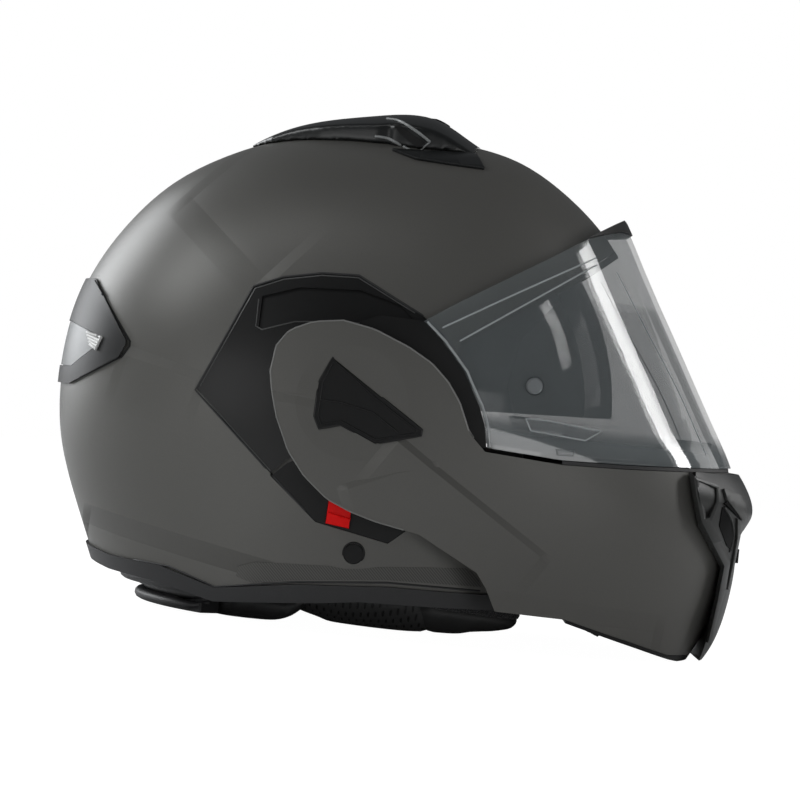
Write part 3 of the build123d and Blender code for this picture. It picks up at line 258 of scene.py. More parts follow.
# %% Paint, plastics, rubber, foam, metals and cloth
shell_paint = grained("shell_paint", (0.092, 0.09, 0.083), (0.13, 0.128, 0.119), 0.42, fine=1400, broad=9,
                      spread=0.05, bump=0.06, metallic=0.2)
# A lighter copy of the shell paint for the bead along the arm's rim: a painted highlight on its rounded edge.
rim_highlight_paint = grained("rim_highlight_paint", (0.17, 0.17, 0.165), (0.22, 0.22, 0.212), 0.3, fine=1400, bump=0.04)
black_plastic = grained("black_plastic", *greys(0.004, 0.008), 0.45, fine=1800, bump=0.15, gloss=0.3)
dark_plastic = grained("dark_plastic", *greys(0.005, 0.01), 0.36, fine=1800, bump=0.1, gloss=0.35)
gloss_black = grained("gloss_black", (0.006, 0.007, 0.007), (0.012, 0.013, 0.013), 0.3, fine=1400, bump=0.05)
# A lighter plastic for the beads along the side plate's edge and its pocket: painted highlights.
edge_highlight_plastic = grained("edge_highlight_plastic", (0.045, 0.046, 0.045), (0.07, 0.071, 0.07), 0.3, fine=1500, bump=0.05)
mask_plastic = grained("mask_plastic", (0.024, 0.025, 0.024), (0.04, 0.041, 0.04), 0.38, fine=1500, bump=0.1,
                       gloss=0.4)
# A lighter copy of the mask plastic for the raised block and the blade: a painted highlight.
mask_painted_highlight = grained("mask_painted_highlight", (0.045, 0.046, 0.044), (0.065, 0.066, 0.063), 0.38, fine=1500, bump=0.08,
                     gloss=0.4)
# A near-black copy of the mask plastic for the pocket, the slot and the channel: painted shade in the recesses.
mask_painted_shade = grained("mask_painted_shade", *greys(0.001, 0.002), 0.6, fine=1500, bump=0.08, gloss=0.1)
red_plastic = grained("red_plastic", (0.75, 0.0005, 0.0005), (0.9, 0.001, 0.001), 0.4, fine=700, bump=0.05,
                      gloss=0.2)
pale_plastic = grained("pale_plastic", (0.55, 0.55, 0.54), (0.68, 0.68, 0.66), 0.4)
grey_plastic = grained("grey_plastic", (0.1, 0.105, 0.106), (0.15, 0.155, 0.157), 0.4)
# A lighter plastic for the rims of the crown's slot: a painted highlight along its edges.
rim_highlight_plastic = grained("rim_highlight_plastic", (0.22, 0.23, 0.23), (0.32, 0.33, 0.33), 0.32, bump=0.05)
rubber = grained("rubber", (0.014, 0.014, 0.015), (0.026, 0.026, 0.027), 0.5, fine=1300, bump=0.2)
foam = grained("foam", *greys(0.006, 0.014), 0.85, fine=420, bump=0.6, depth=0.0006)
steel = grained("steel", (0.42, 0.42, 0.43), (0.6, 0.6, 0.61), 0.32, fine=600, bump=0.05, metallic=1.0)
alloy = grained("alloy", (0.3, 0.3, 0.31), (0.46, 0.46, 0.47), 0.38, fine=700, bump=0.08, metallic=1.0)
fabric = grained("fabric", *greys(0.01, 0.03), 0.9, fine=1500, bump=0.8, depth=0.0004, sheen=0.3)
leather = grained("leather", *greys(0.014, 0.032), 0.5, fine=650, bump=0.35, depth=0.0003)
webbing = grained("webbing", *greys(0.01, 0.025), 0.8, fine=1800, bump=0.7, sheen=0.2)

# %% See-through finishes, and the darker foot of the clear lens, painted shade for the dark inside seen through it


def lens_finish(name, tint, roughness, alpha):
    """A see-through moulded lens, thin enough to let light straight through."""
    finish, tree, shader, place = new_finish(name)
    texture = grain_at(tree, place, 220.0, 7.0, roughness, 0.04)
    paint(tree, shader, texture["Shade"], [value * 0.9 for value in tint], tint, texture["Roughness"])
    fed(tree, shader, Alpha=alpha, IOR=1.5, Specular_IOR_Level=1.0)
    return finish


lens_alpha = 0.34
clear_lens = lens_finish("clear_lens", (0.2, 0.222, 0.228), 0.05, lens_alpha)
tree = clear_lens.node_tree
# The lens is less see-through below 113 mm, most at 103 mm: a darker band across its foot, painted shade.
height = linked(tree, "ShaderNodeSeparateXYZ", Vector=tree.nodes["Texture Coordinate"].outputs["Object"])
foot = linked(tree, "ShaderNodeMapRange", Value=height.outputs["Z"], From_Min=0.103, From_Max=0.113,
              To_Min=0.74, To_Max=lens_alpha)
fed(tree, tree.nodes["Principled BSDF"], Alpha=foot.outputs["Result"])
insert_film = lens_finish("insert_film", (0.12, 0.13, 0.135), 0.08, 0.12)
smoke_lens = lens_finish("smoke_lens", (0.11, 0.122, 0.128), 0.06, 0.85)
# Lighter copies of the clear lens for the tab, catch, ledges and edge lines: painted highlights.
lens_edge_highlight = lens_finish("lens_edge_highlight", (0.3, 0.32, 0.33), 0.16, 0.3)
lens_highlight = lens_finish("lens_highlight", (0.6, 0.63, 0.64), 0.1, 0.6)
pin_clear = lens_finish("pin_clear", (0.3, 0.32, 0.33), 0.12, 0.7)

# %% Knit: round cells of yarn. Perforated leatherette: holes where two waves meet
knit, tree, shader, place = new_finish("knit")
stretch = sums(tree, "MULTIPLY", place, (1400, 1400, 1400), kind="VectorMath")
cells = linked(tree, "ShaderNodeTexVoronoi", Vector=stretch, Scale=1.0)
dots = linked(tree, "ShaderNodeMapRange", Value=cells.outputs["Distance"], From_Min=0.15, From_Max=0.6)
texture = grain_at(tree, place, 1500.0, 14.0, 0.9, 0.05)
paint(tree, shader, dots.outputs["Result"], *greys(0.004), (0.035, 0.036, 0.037), texture["Roughness"])
emboss(tree, shader, dots.outputs["Result"], 0.8, 0.0005)
fed(tree, shader, Sheen_Weight=0.3)

perforated, tree, shader, place = new_finish("perforated")
parts = linked(tree, "ShaderNodeSeparateXYZ", Vector=place).outputs
rows = [sums(tree, "SINE", sums(tree, "MULTIPLY", parts[axis], 1750.0)) for axis in ("X", "Y")]
hole = linked(tree, "ShaderNodeMapRange", Value=sums(tree, "MULTIPLY", *rows), From_Min=0.45, From_Max=0.65)
texture = grain_at(tree, place, 650.0, 18.0, 0.5, 0.06)
paint(tree, shader, hole.outputs["Result"], *greys(0.026, 0.002), texture["Roughness"])
emboss(tree, shader, sums(tree, "MULTIPLY", hole.outputs["Result"], -1.0), 0.9, 0.0005)

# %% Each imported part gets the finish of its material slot
finishes = {
    "shell_paint": shell_paint, "black_plastic": black_plastic, "dark_plastic": dark_plastic,
    "red_plastic": red_plastic, "grille_plastic": grey_plastic, "clear_lens": clear_lens,
    "smoke_lens": smoke_lens, "insert_film": insert_film, "rubber": rubber, "foam": foam,
    "fabric": fabric, "leather": leather, "strap": webbing, "steel": steel, "alloy": alloy,
}
slot_of = {row["node"]: row["material_slot"] for row in frame["record"]["subparts"]}
for name, part in nodes.items():
    part.data.materials.clear()
    part.data.materials.append(finishes[slot_of[name]])
print("finished parts:", len(slot_of))

# %% The floor: pale, and white where the camera looks at it, with the helmet's shadow kept
camera_share = 0.8
floor_finish, tree, shader, place = new_finish("floor_finish")
fed(tree, shader, Base_Color=(0.9, 0.9, 0.9, 1), Roughness=0.8)
glow = linked(tree, "ShaderNodeEmission", Color=(1, 1, 1, 1), Strength=1.24)
rays = tree.nodes.new("ShaderNodeLightPath")
part_white = sums(tree, "MULTIPLY", rays.outputs["Is Camera Ray"], camera_share)
mix = linked(tree, "ShaderNodeMixShader", _0=part_white, _1=shader.outputs[0], _2=glow.outputs[0])
fed(tree, tree.nodes["Material Output"], Surface=mix.outputs[0])
floor.data.materials.append(floor_finish)

# %% [markdown]
# ## Tools for shaping pieces on the curved shells
# The fine pieces of this helmet lie on double-curved surfaces, so they are drawn flat, as the photograph
# shows them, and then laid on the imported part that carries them. Each point of the flat outline is sent
# along the line of sight until it meets that part, and then lifted off it by the piece's own height.

# %% Selecting pieces, modifiers, and finding the surface that a place in the photograph lies on


def only(*pieces):
    """Makes the pieces the only selected ones, and the first of them active, in object mode."""
    if bpy.context.object and bpy.context.object.mode != "OBJECT":
        bpy.ops.object.mode_set(mode="OBJECT")
    bpy.ops.object.select_all(action="DESELECT")
    for piece in pieces:
        piece.select_set(True)
    bpy.context.view_layer.objects.active = pieces[0]


def all_faces(operation=None, **settings):
    """Selects the whole active mesh in edit mode, and does one thing to it."""
    bpy.ops.object.mode_set(mode="EDIT")
    bpy.ops.mesh.select_all(action="SELECT")
    if operation:
        operation(**settings)
    bpy.ops.object.mode_set(mode="OBJECT")


def modified(piece, kind, **settings):
    """Adds one modifier to the active piece and applies it."""
    change = piece.modifiers.new(kind.lower(), kind)
    for label, value in settings.items():
        setattr(change, label, value)
    bpy.ops.object.modifier_apply(modifier=change.name)


def softened(piece, width, angle):
    """Rounds the piece's sharp edges. Width in millimetres, angle in degrees."""
    modified(piece, "BEVEL", width=width * mm, segments=2, limit_method="ANGLE",
             angle_limit=math.radians(angle))


def smoothed(piece, angle):
    """Shades the piece smooth, but for edges sharper than the angle, in degrees."""
    only(piece)
    bpy.ops.object.shade_smooth_by_angle(angle=math.radians(angle))


def finished(piece, *materials):
    """Gives the piece its finishes and nothing else."""
    piece.data.materials.clear()
    for finish in materials:
        piece.data.materials.append(finish)


def mirrored(piece, name):
    """The piece's twin on the wearer's left."""
    twin = bpy.data.objects.new(name, piece.data.copy())
    scene.collection.objects.link(twin)
    for vertex in twin.data.vertices:
        vertex.co.y = -vertex.co.y
    twin.data.flip_normals()
    return twin


def facing_out(piece):
    """Turns an open sheet's faces to the wearer's right."""
    only(piece)
    all_faces(bpy.ops.mesh.normals_make_consistent, inside=False)
    if sum(face.normal.y * face.area for face in piece.data.polygons) > 0:
        piece.data.flip_normals()


def surface_of(*pieces):
    """A search tree over the surfaces of pieces, given themselves or by their packed names."""
    points = []
    faces = []
    for piece in pieces:
        mesh = (nodes[piece] if isinstance(piece, str) else piece).data
        start = len(points)
        points += [vertex.co.copy() for vertex in mesh.vertices]
        faces += [[start + index for index in face.vertices] for face in mesh.polygons]
    return BVHTree.FromPolygons(points, faces)


far_side = 8 * mm


def met(tree, across, down):
    """What the line of sight through a place in the photograph meets first, and its direction."""
    aim = (photo_point(across, down, 0) - eye).normalized()
    place, normal = tree.ray_cast(eye, aim)[:2]
    return place, normal, aim


def seen_on(tree, across, down):
    """The place and the outward normal on the near side of a surface, behind a place in the photograph."""
    place, normal, aim = met(tree, across, down)
    if place is None or place.y > far_side:
        place, normal = tree.find_nearest(photo_point(across, down, 100))[:2]
    if normal.dot(aim) > 0:
        normal = -normal
    return place, normal


# %% Lines between the given places, smooth or straight


def smooth_path(pixels, steps=8, closed=False):
    """More points on a smooth line through the given ones."""
    points = [Vector(pixel) for pixel in pixels]
    count = len(points)
    path = []
    for index in range(count if closed else count - 1):
        a = points[(index - 1) % count] if closed or index else points[0]
        b = points[index]
        c = points[(index + 1) % count]
        d = points[(index + 2) % count] if closed or index + 2 < count else points[-1]
        for step in range(steps):
            t = step / steps
            path.append(0.5 * (2 * b + (c - a) * t + (2 * a - 5 * b + 4 * c - d) * t * t
                               + (3 * b - a - 3 * c + d) * t ** 3))
    if not closed:
        path.append(points[-1])
    return path


def straight_path(pixels, step=6, closed=False):
    """More points on the straight runs between the given ones, so that a line follows a curved surface."""
    points = [Vector(pixel) for pixel in pixels]
    ends = points[1:] + points[:1] if closed else points[1:]
    path = []
    for a, b in zip(points, ends):
        count = max(1, round((b - a).length / step))
        path += [a + (b - a) * index / count for index in range(count)]
    if not closed:
        path.append(points[-1])
    return path


# %% Finishing a piece, and the three kinds of fine piece: a plate, a tube and a bead


def place_piece(piece, finish, body, twin_body=None, twin=True, angle=35):
    """Smooths, finishes and rides a piece, and makes its twin on the wearer's left."""
    smoothed(piece, angle)
    finished(piece, finish)
    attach(piece, body)
    if twin:
        other = mirrored(piece, piece.name + "_left")
        piece.name += "_right"
        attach(other, twin_body or body)


def panel(name, pixels, tree, lift, thick, bevel=0.4, grid=6):
    """A thin plate on a curved surface, from its outline in the photograph. Sizes in millimetres."""
    outline = straight_path(pixels, grid, closed=True)
    bpy.ops.mesh.primitive_circle_add(vertices=len(outline), fill_type="NGON")
    piece = bpy.context.object
    piece.name = name
    for vertex, pixel in zip(piece.data.vertices, outline):
        vertex.co = (pixel.x, pixel.y, 0)
    low = [min(pixel[axis] for pixel in outline) for axis in (0, 1)]
    high = [max(pixel[axis] for pixel in outline) for axis in (0, 1)]
    bpy.ops.object.mode_set(mode="EDIT")
    for axis in (0, 1):
        count = int((high[axis] - low[axis]) / grid)
        for index in range(count):
            bpy.ops.mesh.select_all(action="SELECT")
            at = [0, 0, 0]
            at[axis] = low[axis] + (index + 0.5) * (high[axis] - low[axis]) / max(1, count)
            turn = [0, 0, 0]
            turn[axis] = 1
            bpy.ops.mesh.bisect(plane_co=at, plane_no=turn)
    bpy.ops.mesh.select_all(action="SELECT")
    bpy.ops.mesh.remove_doubles(threshold=0.02)
    bpy.ops.object.mode_set(mode="OBJECT")
    piece.location = (0, 0, 0)
    for vertex in piece.data.vertices:
        place, normal = seen_on(tree, vertex.co.x, vertex.co.y)
        vertex.co = place + normal * lift * mm
    facing_out(piece)
    modified(piece, "SOLIDIFY", thickness=thick * mm, offset=1)
    if bevel:
        softened(piece, bevel, 40)
    print(name, len(piece.data.polygons), "faces")
    return piece


def tube(name, places, radius, closed=False, resolution=2, sizes=None):
    """A round rod along the places, with a share of its radius, in millimetres, at each."""
    curve = bpy.data.curves.new(name, "CURVE")
    curve.dimensions = "3D"
    curve.bevel_depth = radius * mm
    curve.bevel_resolution = resolution
    curve.use_fill_caps = True
    line = curve.splines.new("POLY")
    line.points.add(len(places) - 1)
    for point, place, size in zip(line.points, places, sizes or [1] * len(places)):
        point.co = (*place, 1)
        point.radius = size
    line.use_cyclic_u = closed
    piece = bpy.data.objects.new(name, curve)
    scene.collection.objects.link(piece)
    only(piece)
    bpy.ops.object.convert(target="MESH")
    print(name, len(bpy.context.object.data.polygons), "faces")
    return bpy.context.object


def bead(name, pixels, tree, radius, lift=0.0, smooth=False, closed=False):
    """A raised line on a curved surface: a seam, a lip or a border. Sizes in millimetres."""
    path = smooth_path(pixels, 8, closed) if smooth else straight_path(pixels, 5, closed)
    places = []
    for pixel in path:
        place, normal = seen_on(tree, pixel.x, pixel.y)
        places.append(place + normal * lift * mm)
    return tube(name, places, radius, closed)


# %% [markdown]
# ## Creases in the painted shells
# The real shells have styling lines: the surface steps in or out along a line and then swings slowly back.
# They are a few millimetres deep at most, so they show in how the light runs over them. Each straight run of
# a crease is one use of a shared group, which turns the distance from that run into a depth. The paint takes
# the deepest pressed run from the highest raised one, and feeds the result to its bump.

# %% One run of a crease
crease, given, end = node_group(
    "crease_run",
    {"Place": None, "From": None, "Along": None, "Below": None, "Length": 0.05, "Depth": 1.0, "Bevel": 0.003,
     "Fade": 0.02, "Start": 0.004, "End": 0.004},
    ("Depth",),
)
gap = sums(crease, "SUBTRACT", given["Place"], given["From"], kind="VectorMath")
run = sums(crease, "DOT_PRODUCT", gap, given["Along"], kind="VectorMath")
off = sums(crease, "DOT_PRODUCT", gap, given["Below"], kind="VectorMath")
step_in = sums(crease, "DIVIDE", off, given["Bevel"], clamp=True)
gone = sums(crease, "DIVIDE", sums(crease, "SUBTRACT", off, given["Bevel"]), given["Fade"])
both = sums(crease, "MINIMUM", step_in, sums(crease, "SUBTRACT", 1.0, gone, clamp=True))
before = sums(crease, "ADD", run, given["Start"])
after = sums(crease, "ADD", sums(crease, "SUBTRACT", given["Length"], run), given["End"])
first = sums(crease, "DIVIDE", before, given["Start"], clamp=True)
last = sums(crease, "DIVIDE", after, given["End"], clamp=True)
shape = sums(crease, "MULTIPLY", both, sums(crease, "MULTIPLY", first, last))
crease.links.new(sums(crease, "MULTIPLY", shape, given["Depth"]), end.inputs["Depth"])

# %% The paint with its creases


def add_creases(finish, tree_of_surface, lines):
    """Adds creases to a paint: each has its places in the photograph, and its depth, bevel and fade in mm.
    A negative depth is a raised one."""
    tree = finish.node_tree
    shader = tree.nodes["Principled BSDF"]
    place = tree.nodes.new("ShaderNodeTexCoord").outputs["Object"]
    flat = sums(tree, "MULTIPLY", place, (1, 0, 1), kind="VectorMath")
    end_fade = 5 * mm
    joint_fade = 2.5 * mm
    deepest = {"raised": 0.0, "pressed": 0.0}
    for pixels, depth, bevel, fade in lines:
        places = [seen_on(tree_of_surface, *pixel)[0] * Vector((1, 0, 1)) for pixel in pixels]
        way = "raised" if depth < 0 else "pressed"
        last = len(places) - 2
        for index, (a, b) in enumerate(zip(places, places[1:])):
            along = (b - a).normalized()
            run = linked(tree, "ShaderNodeGroup", set_node_tree=crease, Place=flat, From=a, Along=along,
                         Below=Vector((along.z, 0, -along.x)), Length=(b - a).length, Depth=abs(depth),
                         Bevel=bevel * mm, Fade=fade * mm, Start=joint_fade if index else end_fade,
                         End=joint_fade if index < last else end_fade)
            deepest[way] = sums(tree, "MAXIMUM", deepest[way], run.outputs["Depth"])
    height = sums(tree, "SUBTRACT", deepest["raised"], deepest["pressed"])
    old = shader.inputs["Normal"].links[0].from_socket
    relief = linked(tree, "ShaderNodeBump", Strength=1.0, Distance=mm, Height=height, Normal=old)
    fed(tree, shader, Normal=relief.outputs["Normal"])
    print(finish.name, "has", len(tree.nodes), "shader nodes")


shell_tree = surface_of("outer_shell")
chin_tree = surface_of("chin_bar_shell")
chin_paint = shell_paint.copy()
chin_paint.name = "chin_paint"
add_creases(shell_paint, shell_tree, [
    ([(92, 505), (268, 560)], 4.2, 10, 60),
    ([(243, 296), (172, 218)], 0.7, 14, 60),
    ([(131, 346), (200, 370)], 0.9, 5, 26),
])
add_creases(chin_paint, chin_tree, [
    ([(273, 390), (317, 398)], 0.3, 0.7, 4),
    ([(403, 437), (433, 462), (545, 552)], -1.4, 3.2, 36),
    ([(346, 483), (397, 467), (428, 462)], -1.2, 3.0, 22),
    ([(486, 588), (606, 608), (703, 643)], 0.9, 9, 60),
])
finished(nodes["chin_bar_shell"], chin_paint)

# %% [markdown]
# ## The side: plate edges, insets and the catch
# Beside the hinge the real helmet layers four mouldings: the arm's dark insert with its double border, the
# gloss plate in its pocket, the visor's cover and the small drive behind it. Borders are drawn as raised
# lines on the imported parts, and the flat details as thin plates.

# %% The search trees of the side, the rear and the visor, and one call for each kind of fine piece
inset_tree = surface_of("arm_inset_right", "chin_bar_shell")
pocket_plate_tree = surface_of("side_plate_right")
plates_tree = surface_of("side_plate_right", "side_plate_lower_right", "outer_shell")
catch_tree = surface_of("side_plate_right", "side_plate_lower_right", "outer_shell", "lock_tab_right",
                        "strap_anchor_caps")
trim_tree = surface_of("base_trim", "outer_shell")
rear_tree = surface_of("rear_vent_grille", "rear_vent_panel", "outer_shell")
visor_tree = surface_of("visor_lens")


def add_bead(name, line, tree, radius, finish, body="helmet_shell", slot="black_plastic", **settings):
    """A finished raised line on both sides of the helmet."""
    place_piece(bead(name, line, tree, radius, **settings), finish, body)


def add_plate(name, outline, tree, lift, thick, finish, body="helmet_shell", slot="black_plastic",
              twin_body=None, **settings):
    """A finished thin plate on both sides of the helmet."""
    place_piece(panel(name, outline, tree, lift, thick, **settings), finish, body, twin_body)


def spot(centre, turn, distance):
    """The place in the photograph at a turn in degrees and a distance from another."""
    return Vector(centre) + Vector((math.cos(math.radians(turn)), math.sin(math.radians(turn)))) * distance


# %% Moulded edges: a fine round along the arm's rim in a lighter paint, a painted highlight, and dark rubber beads in the gaps round the side plates and the trim, painted shade


def rim_of(tree, centre, turns, reach, nearest, inwards=0.4):
    """Pixels along the rim of a piece, found by halving: inside, its surface is nearer than nearest (mm)."""
    line = []
    for turn in turns:
        low, high = reach
        for step in range(12):
            half = (low + high) / 2
            place = met(tree, *spot(centre, turn, half))[0]
            if place and -place.y > nearest * mm:
                low = half
            else:
                high = half
        line.append(tuple(spot(centre, turn, low - inwards)))
    return line


# The arm's rim bead is in the lighter paint: a painted highlight along the edge.
arm_rim = rim_of(chin_tree, (372, 420), range(74, 371, 4), (30, 190), 108)
add_bead("arm_rim", arm_rim, chin_tree, 0.4, rim_highlight_paint, "chin_bar", "shell_paint", lift=-0.12)
# The gaps round the side plates are filled with a dark rubber bead: painted shade.
gap_line = [(406, 531), (388, 543.5), (315.5, 521.7), (270.7, 473.5), (195.2, 390), (253.5, 286),
            (283.3, 276.8), (322.3, 272.9), (359.1, 275.2), (423.4, 316)]
add_bead("plate_gap_shade", gap_line, plates_tree, 0.5, rubber, slot="rubber", lift=-0.1)
# The beads along the plate's edge and the pocket's rim are in the lighter plastic: painted highlights.
edge_line = [(270.5, 470.5), (198.2, 390), (255.3, 288.4), (284, 279.4), (322.3, 275.5), (358.6, 277.8),
             (415, 313)]
add_bead("plate_edge", edge_line, plates_tree, 0.32, edge_highlight_plastic)
pocket_line = [(259, 299), (256, 326), (262, 329.5), (295, 321.8), (330, 321.5), (362, 323.5)]
add_bead("pocket_edge", pocket_line, pocket_plate_tree, 0.4, edge_highlight_plastic)
# The gap above the trim is a dark rubber bead too: painted shade.
trim_line = [(121, 557), (170, 566.6), (214.4, 586.8), (294.8, 582), (386.6, 582.6), (480, 591)]
add_bead("trim_gap_shade", trim_line, trim_tree, 0.5, rubber, slot="rubber")

# %% The arm's insert: its inner border, its outer edge and the rib across it
inner_line = [(333.5, 362.5), (323, 382), (318, 415), (321.5, 424.5), (341, 420.5), (376, 439.5),
              (415, 433), (417, 430), (376, 398), (337, 362.5)]
outer_line = [(332.7, 357.6), (318.9, 381.7), (314.3, 416.1), (318.9, 428.7), (340.7, 424.8),
              (375.1, 443.7), (421.1, 435.6), (422.2, 429.9)]
rib_line = [(318, 399), (341, 402), (373, 412), (398, 432)]
for name, line, radius, finish, lift, closed in (
        ("inset_border", inner_line, 0.35, black_plastic, 0.05, True),
        ("inset_edge", outer_line, 0.55, dark_plastic, 0.0, True),
        ("inset_rib", rib_line, 0.35, dark_plastic, 0.0, False)):
    add_bead(name, line, inset_tree, radius, finish, "chin_bar", lift=lift, closed=closed)

# %% The red tab's lip, and the ring round the strap rivet's cap
tab_lip = [(328, 512), (350, 519), (348.7, 527.5), (326.5, 522)]
add_plate("tab_lip", tab_lip, catch_tree, 0.1, 1.2, red_plastic, "tab_right", "red_plastic", "tab_left",
          bevel=0.5, grid=5)
cap_pixel = (353.6, 553.2)
cap_radius = 10.6
cap_line = [spot(cap_pixel, turn, cap_radius) for turn in range(0, 360, 15)]
add_bead("cap_ring", cap_line, shell_tree, 0.45, black_plastic, smooth=True, closed=True)

# %% The printed hatch band above the trim: a film thin as paint, left bare of any lettering
hatch, tree, shader, place = new_finish("hatch")
parts = linked(tree, "ShaderNodeSeparateXYZ", Vector=place).outputs
wave = sums(tree, "SINE", sums(tree, "MULTIPLY", sums(tree, "ADD", parts["X"], parts["Z"]), 4200.0))
fade_in = linked(tree, "ShaderNodeMapRange", Value=parts["X"], From_Min=-0.088, From_Max=-0.06)
ink = sums(tree, "MULTIPLY", sums(tree, "MULTIPLY_ADD", wave, 0.5, 0.5), fade_in.outputs["Result"])
texture = grain_at(tree, place, 1400.0, 9.0, 0.45, 0.05)
paint(tree, shader, ink, (0.105, 0.103, 0.096), (0.05, 0.049, 0.046), texture["Roughness"])
fed(tree, shader, Metallic=0.3)
band_edge = [(238, 566), (256, 562), (330, 566), (345, 569), (362, 569), (378, 567), (465, 568), (476, 575),
             (482, 587), (440, 584), (386, 580), (294, 580), (252, 583), (236, 576)]
add_plate("hatch_band", band_edge, shell_tree, 0.05, 0.12, hatch, slot="shell_paint", bevel=0, grid=8)

# %% The small drive in the window behind the visor's cover
window = [(427, 350), (441, 342), (458, 360), (461, 372), (447, 374)]
add_plate("drive_window", window, catch_tree, 0.3, 0.8, dark_plastic, slot="dark_plastic", bevel=0.3)
teeth = [(431, 352), (438, 358), (441, 351), (447, 362), (449, 356), (455, 369)]
add_bead("drive_teeth", teeth, catch_tree, 0.7, alloy, slot="alloy", lift=1.2)

# %% [markdown]
# ## The crown and the rear
# The scoop on the crown has a slot that looks sideways, with its rim in a lighter plastic as a painted highlight,
# and the panel at the rear has a recess with a few pale slats. The scoop is one rounded skin over the imported
# base and spoiler, with a track for the slider, which is rounded too. The rims, the slot's black mouth, which is
# painted shade in the opening, and the slats lie on them.

# %% The scoop, the spoiler and the slider, with the round edges of a moulding


def packed_copy(name, *sources, quads=False):
    """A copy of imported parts, joined to one mesh, with doubled points merged."""
    copies = [bpy.data.objects.new(name, nodes[source].data.copy()) for source in sources]
    for copy in copies:
        scene.collection.objects.link(copy)
    only(*copies)
    if len(copies) > 1:
        bpy.ops.object.join()
    bpy.ops.object.mode_set(mode="EDIT")
    bpy.ops.mesh.customdata_custom_splitnormals_clear()
    bpy.ops.mesh.select_all(action="SELECT")
    bpy.ops.mesh.remove_doubles(threshold=0.02 * mm)
    if quads:
        bpy.ops.mesh.tris_convert_to_quads()
    bpy.ops.object.mode_set(mode="OBJECT")
    return bpy.context.object


def even_copy(name, voxel, *sources):
    """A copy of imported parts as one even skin. Voxel size in millimetres."""
    piece = packed_copy(name, *sources)
    modified(piece, "REMESH", mode="VOXEL", voxel_size=voxel * mm)
    return piece


scoop = even_copy("crown_scoop", 1.0, "crown_vent_base", "crown_spoiler")
modified(scoop, "SMOOTH", iterations=10)
place_piece(scoop, gloss_black, "helmet_shell", twin=False, angle=60)
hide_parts("crown_vent_base", "crown_spoiler")
scoop_tree = surface_of(scoop)
low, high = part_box("crown_vent_slider")
travel = 9 * mm
margin = 0.9 * mm
track_depth = 0.4 * mm
knob_height = 1.1 * mm
for vertex in scoop.data.vertices:
    place = vertex.co
    along_track = low[0] - travel - margin < place.x < high[0] + margin
    if along_track and abs(place.y) < high[1] + margin and place.z > low[2] - track_depth:
        place.z = low[2] - track_depth
crown_tree = surface_of(scoop, "outer_shell")
knob = even_copy("crown_knob", 0.5, "crown_vent_slider")
modified(knob, "SMOOTH", iterations=3)
for vertex in knob.data.vertices:
    start = Vector((vertex.co.x, high[1] + 4 * mm, high[2] + 9 * mm))
    beside = scoop_tree.ray_cast(start, Vector((0, 0, -1)))[0]
    if beside:
        vertex.co.z = max(low[2], min(vertex.co.z, beside.z + knob_height))
place_piece(knob, gloss_black, "crown_slider", twin=False, angle=50)
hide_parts("crown_vent_slider")
print("scoop:", len(scoop.data.polygons), "faces, slider:", len(knob.data.polygons), "faces")

# %% The rims of the side slot, lighter as a painted highlight, its black mouth as painted shade, and the strip along the scoop's foot
# The slot's mouth is a black plate laid in the opening: painted shade.
mouth = [(393, 124), (400, 125.5), (425, 143), (418, 148.5), (400, 134)]
add_plate("crown_slot_shade", mouth, crown_tree, 0.1, 0.5, black_plastic, bevel=0, grid=4)
for name, line, radius in (("upper", [(387, 119), (400, 121.5), (416, 131), (430, 142)], 0.75),
                           ("lower", [(375, 136.5), (388, 138.5), (402, 146), (417, 155)], 0.7),
                           ("nose", [(430, 142), (424, 147), (417, 155)], 0.4)):
    add_bead("crown_rim_" + name, line, crown_tree, radius, rim_highlight_plastic, slot="grille_plastic",
             lift=0.1, smooth=True)
strip = [(392, 151), (430, 153), (476, 156), (484, 170), (450, 165.5), (415, 160)]
add_plate("crown_strip", strip, shell_tree, 0.0, 1.6, gloss_black, bevel=0.6, grid=5)

# %% The rear slats and the panel's bead
for index in range(5):
    share = index / 4
    slat = [(88 + 3 * share, 332.5 + 12 * share), (102 - 5 * share, 338 + 11 * share)]
    add_bead(f"rear_slat_{index}", slat, rear_tree, 0.8, pale_plastic, slot="grille_plastic", lift=0.5)
rear_line = [(95, 281), (130, 341.5), (129.5, 346), (122, 356.5), (74, 380.5)]
add_bead("rear_bead", rear_line, rear_tree, 0.6, black_plastic, lift=0.1)

# %% The skirt's rolled lips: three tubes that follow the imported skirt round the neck
skirt_tree = surface_of("rear_skirt")
skirt_middle = -60 * mm
skirt_top = 15
lip_out = 0.6
lip_radius = 2.9
lip_turns = range(104, 257, 4)
for index, height in enumerate((14.2, 9.4, 4.6)):
    path = []
    for turn in lip_turns:
        way = Vector((math.cos(math.radians(turn)), math.sin(math.radians(turn)), 0))
        place = skirt_tree.ray_cast(Vector((skirt_middle, 0, height * mm)) + way * 200 * mm, -way)[0]
        if place:
            from_end = min(turn - lip_turns[0], lip_turns[-1] - turn)
            rise = max(0.0, 1 - from_end / 15)
            path.append(Vector((*(place + way * lip_out * mm).xy,
                                (height + (skirt_top - height) * rise ** 2) * mm)))
    count = len(path)
    sizes = [min(1, 0.4 + 0.15 * min(number, count - 1 - number)) for number in range(count)]
    lip = tube(f"skirt_lip_{index}", path, lip_radius, resolution=3, sizes=sizes)
    place_piece(lip, rubber, "helmet_shell", twin=False, angle=60)

# %% [markdown]
# ## The front mask
# The mask is one black moulding with many facets. Its frame, with the sunken pocket beside the vent, is built from
# corners as one faceted shell with softened edges, so that it catches a line of light along them. The raised block
# with its slot, the channel and the long blade are thin plates on the imported mask; the block and the blade are
# in a lighter copy of the mask plastic, a painted highlight, and the pocket, the slot and the channel in a
# near-black one, painted shade.

# %% The frame and the pocket, from corners given with their distance to the wearer's right


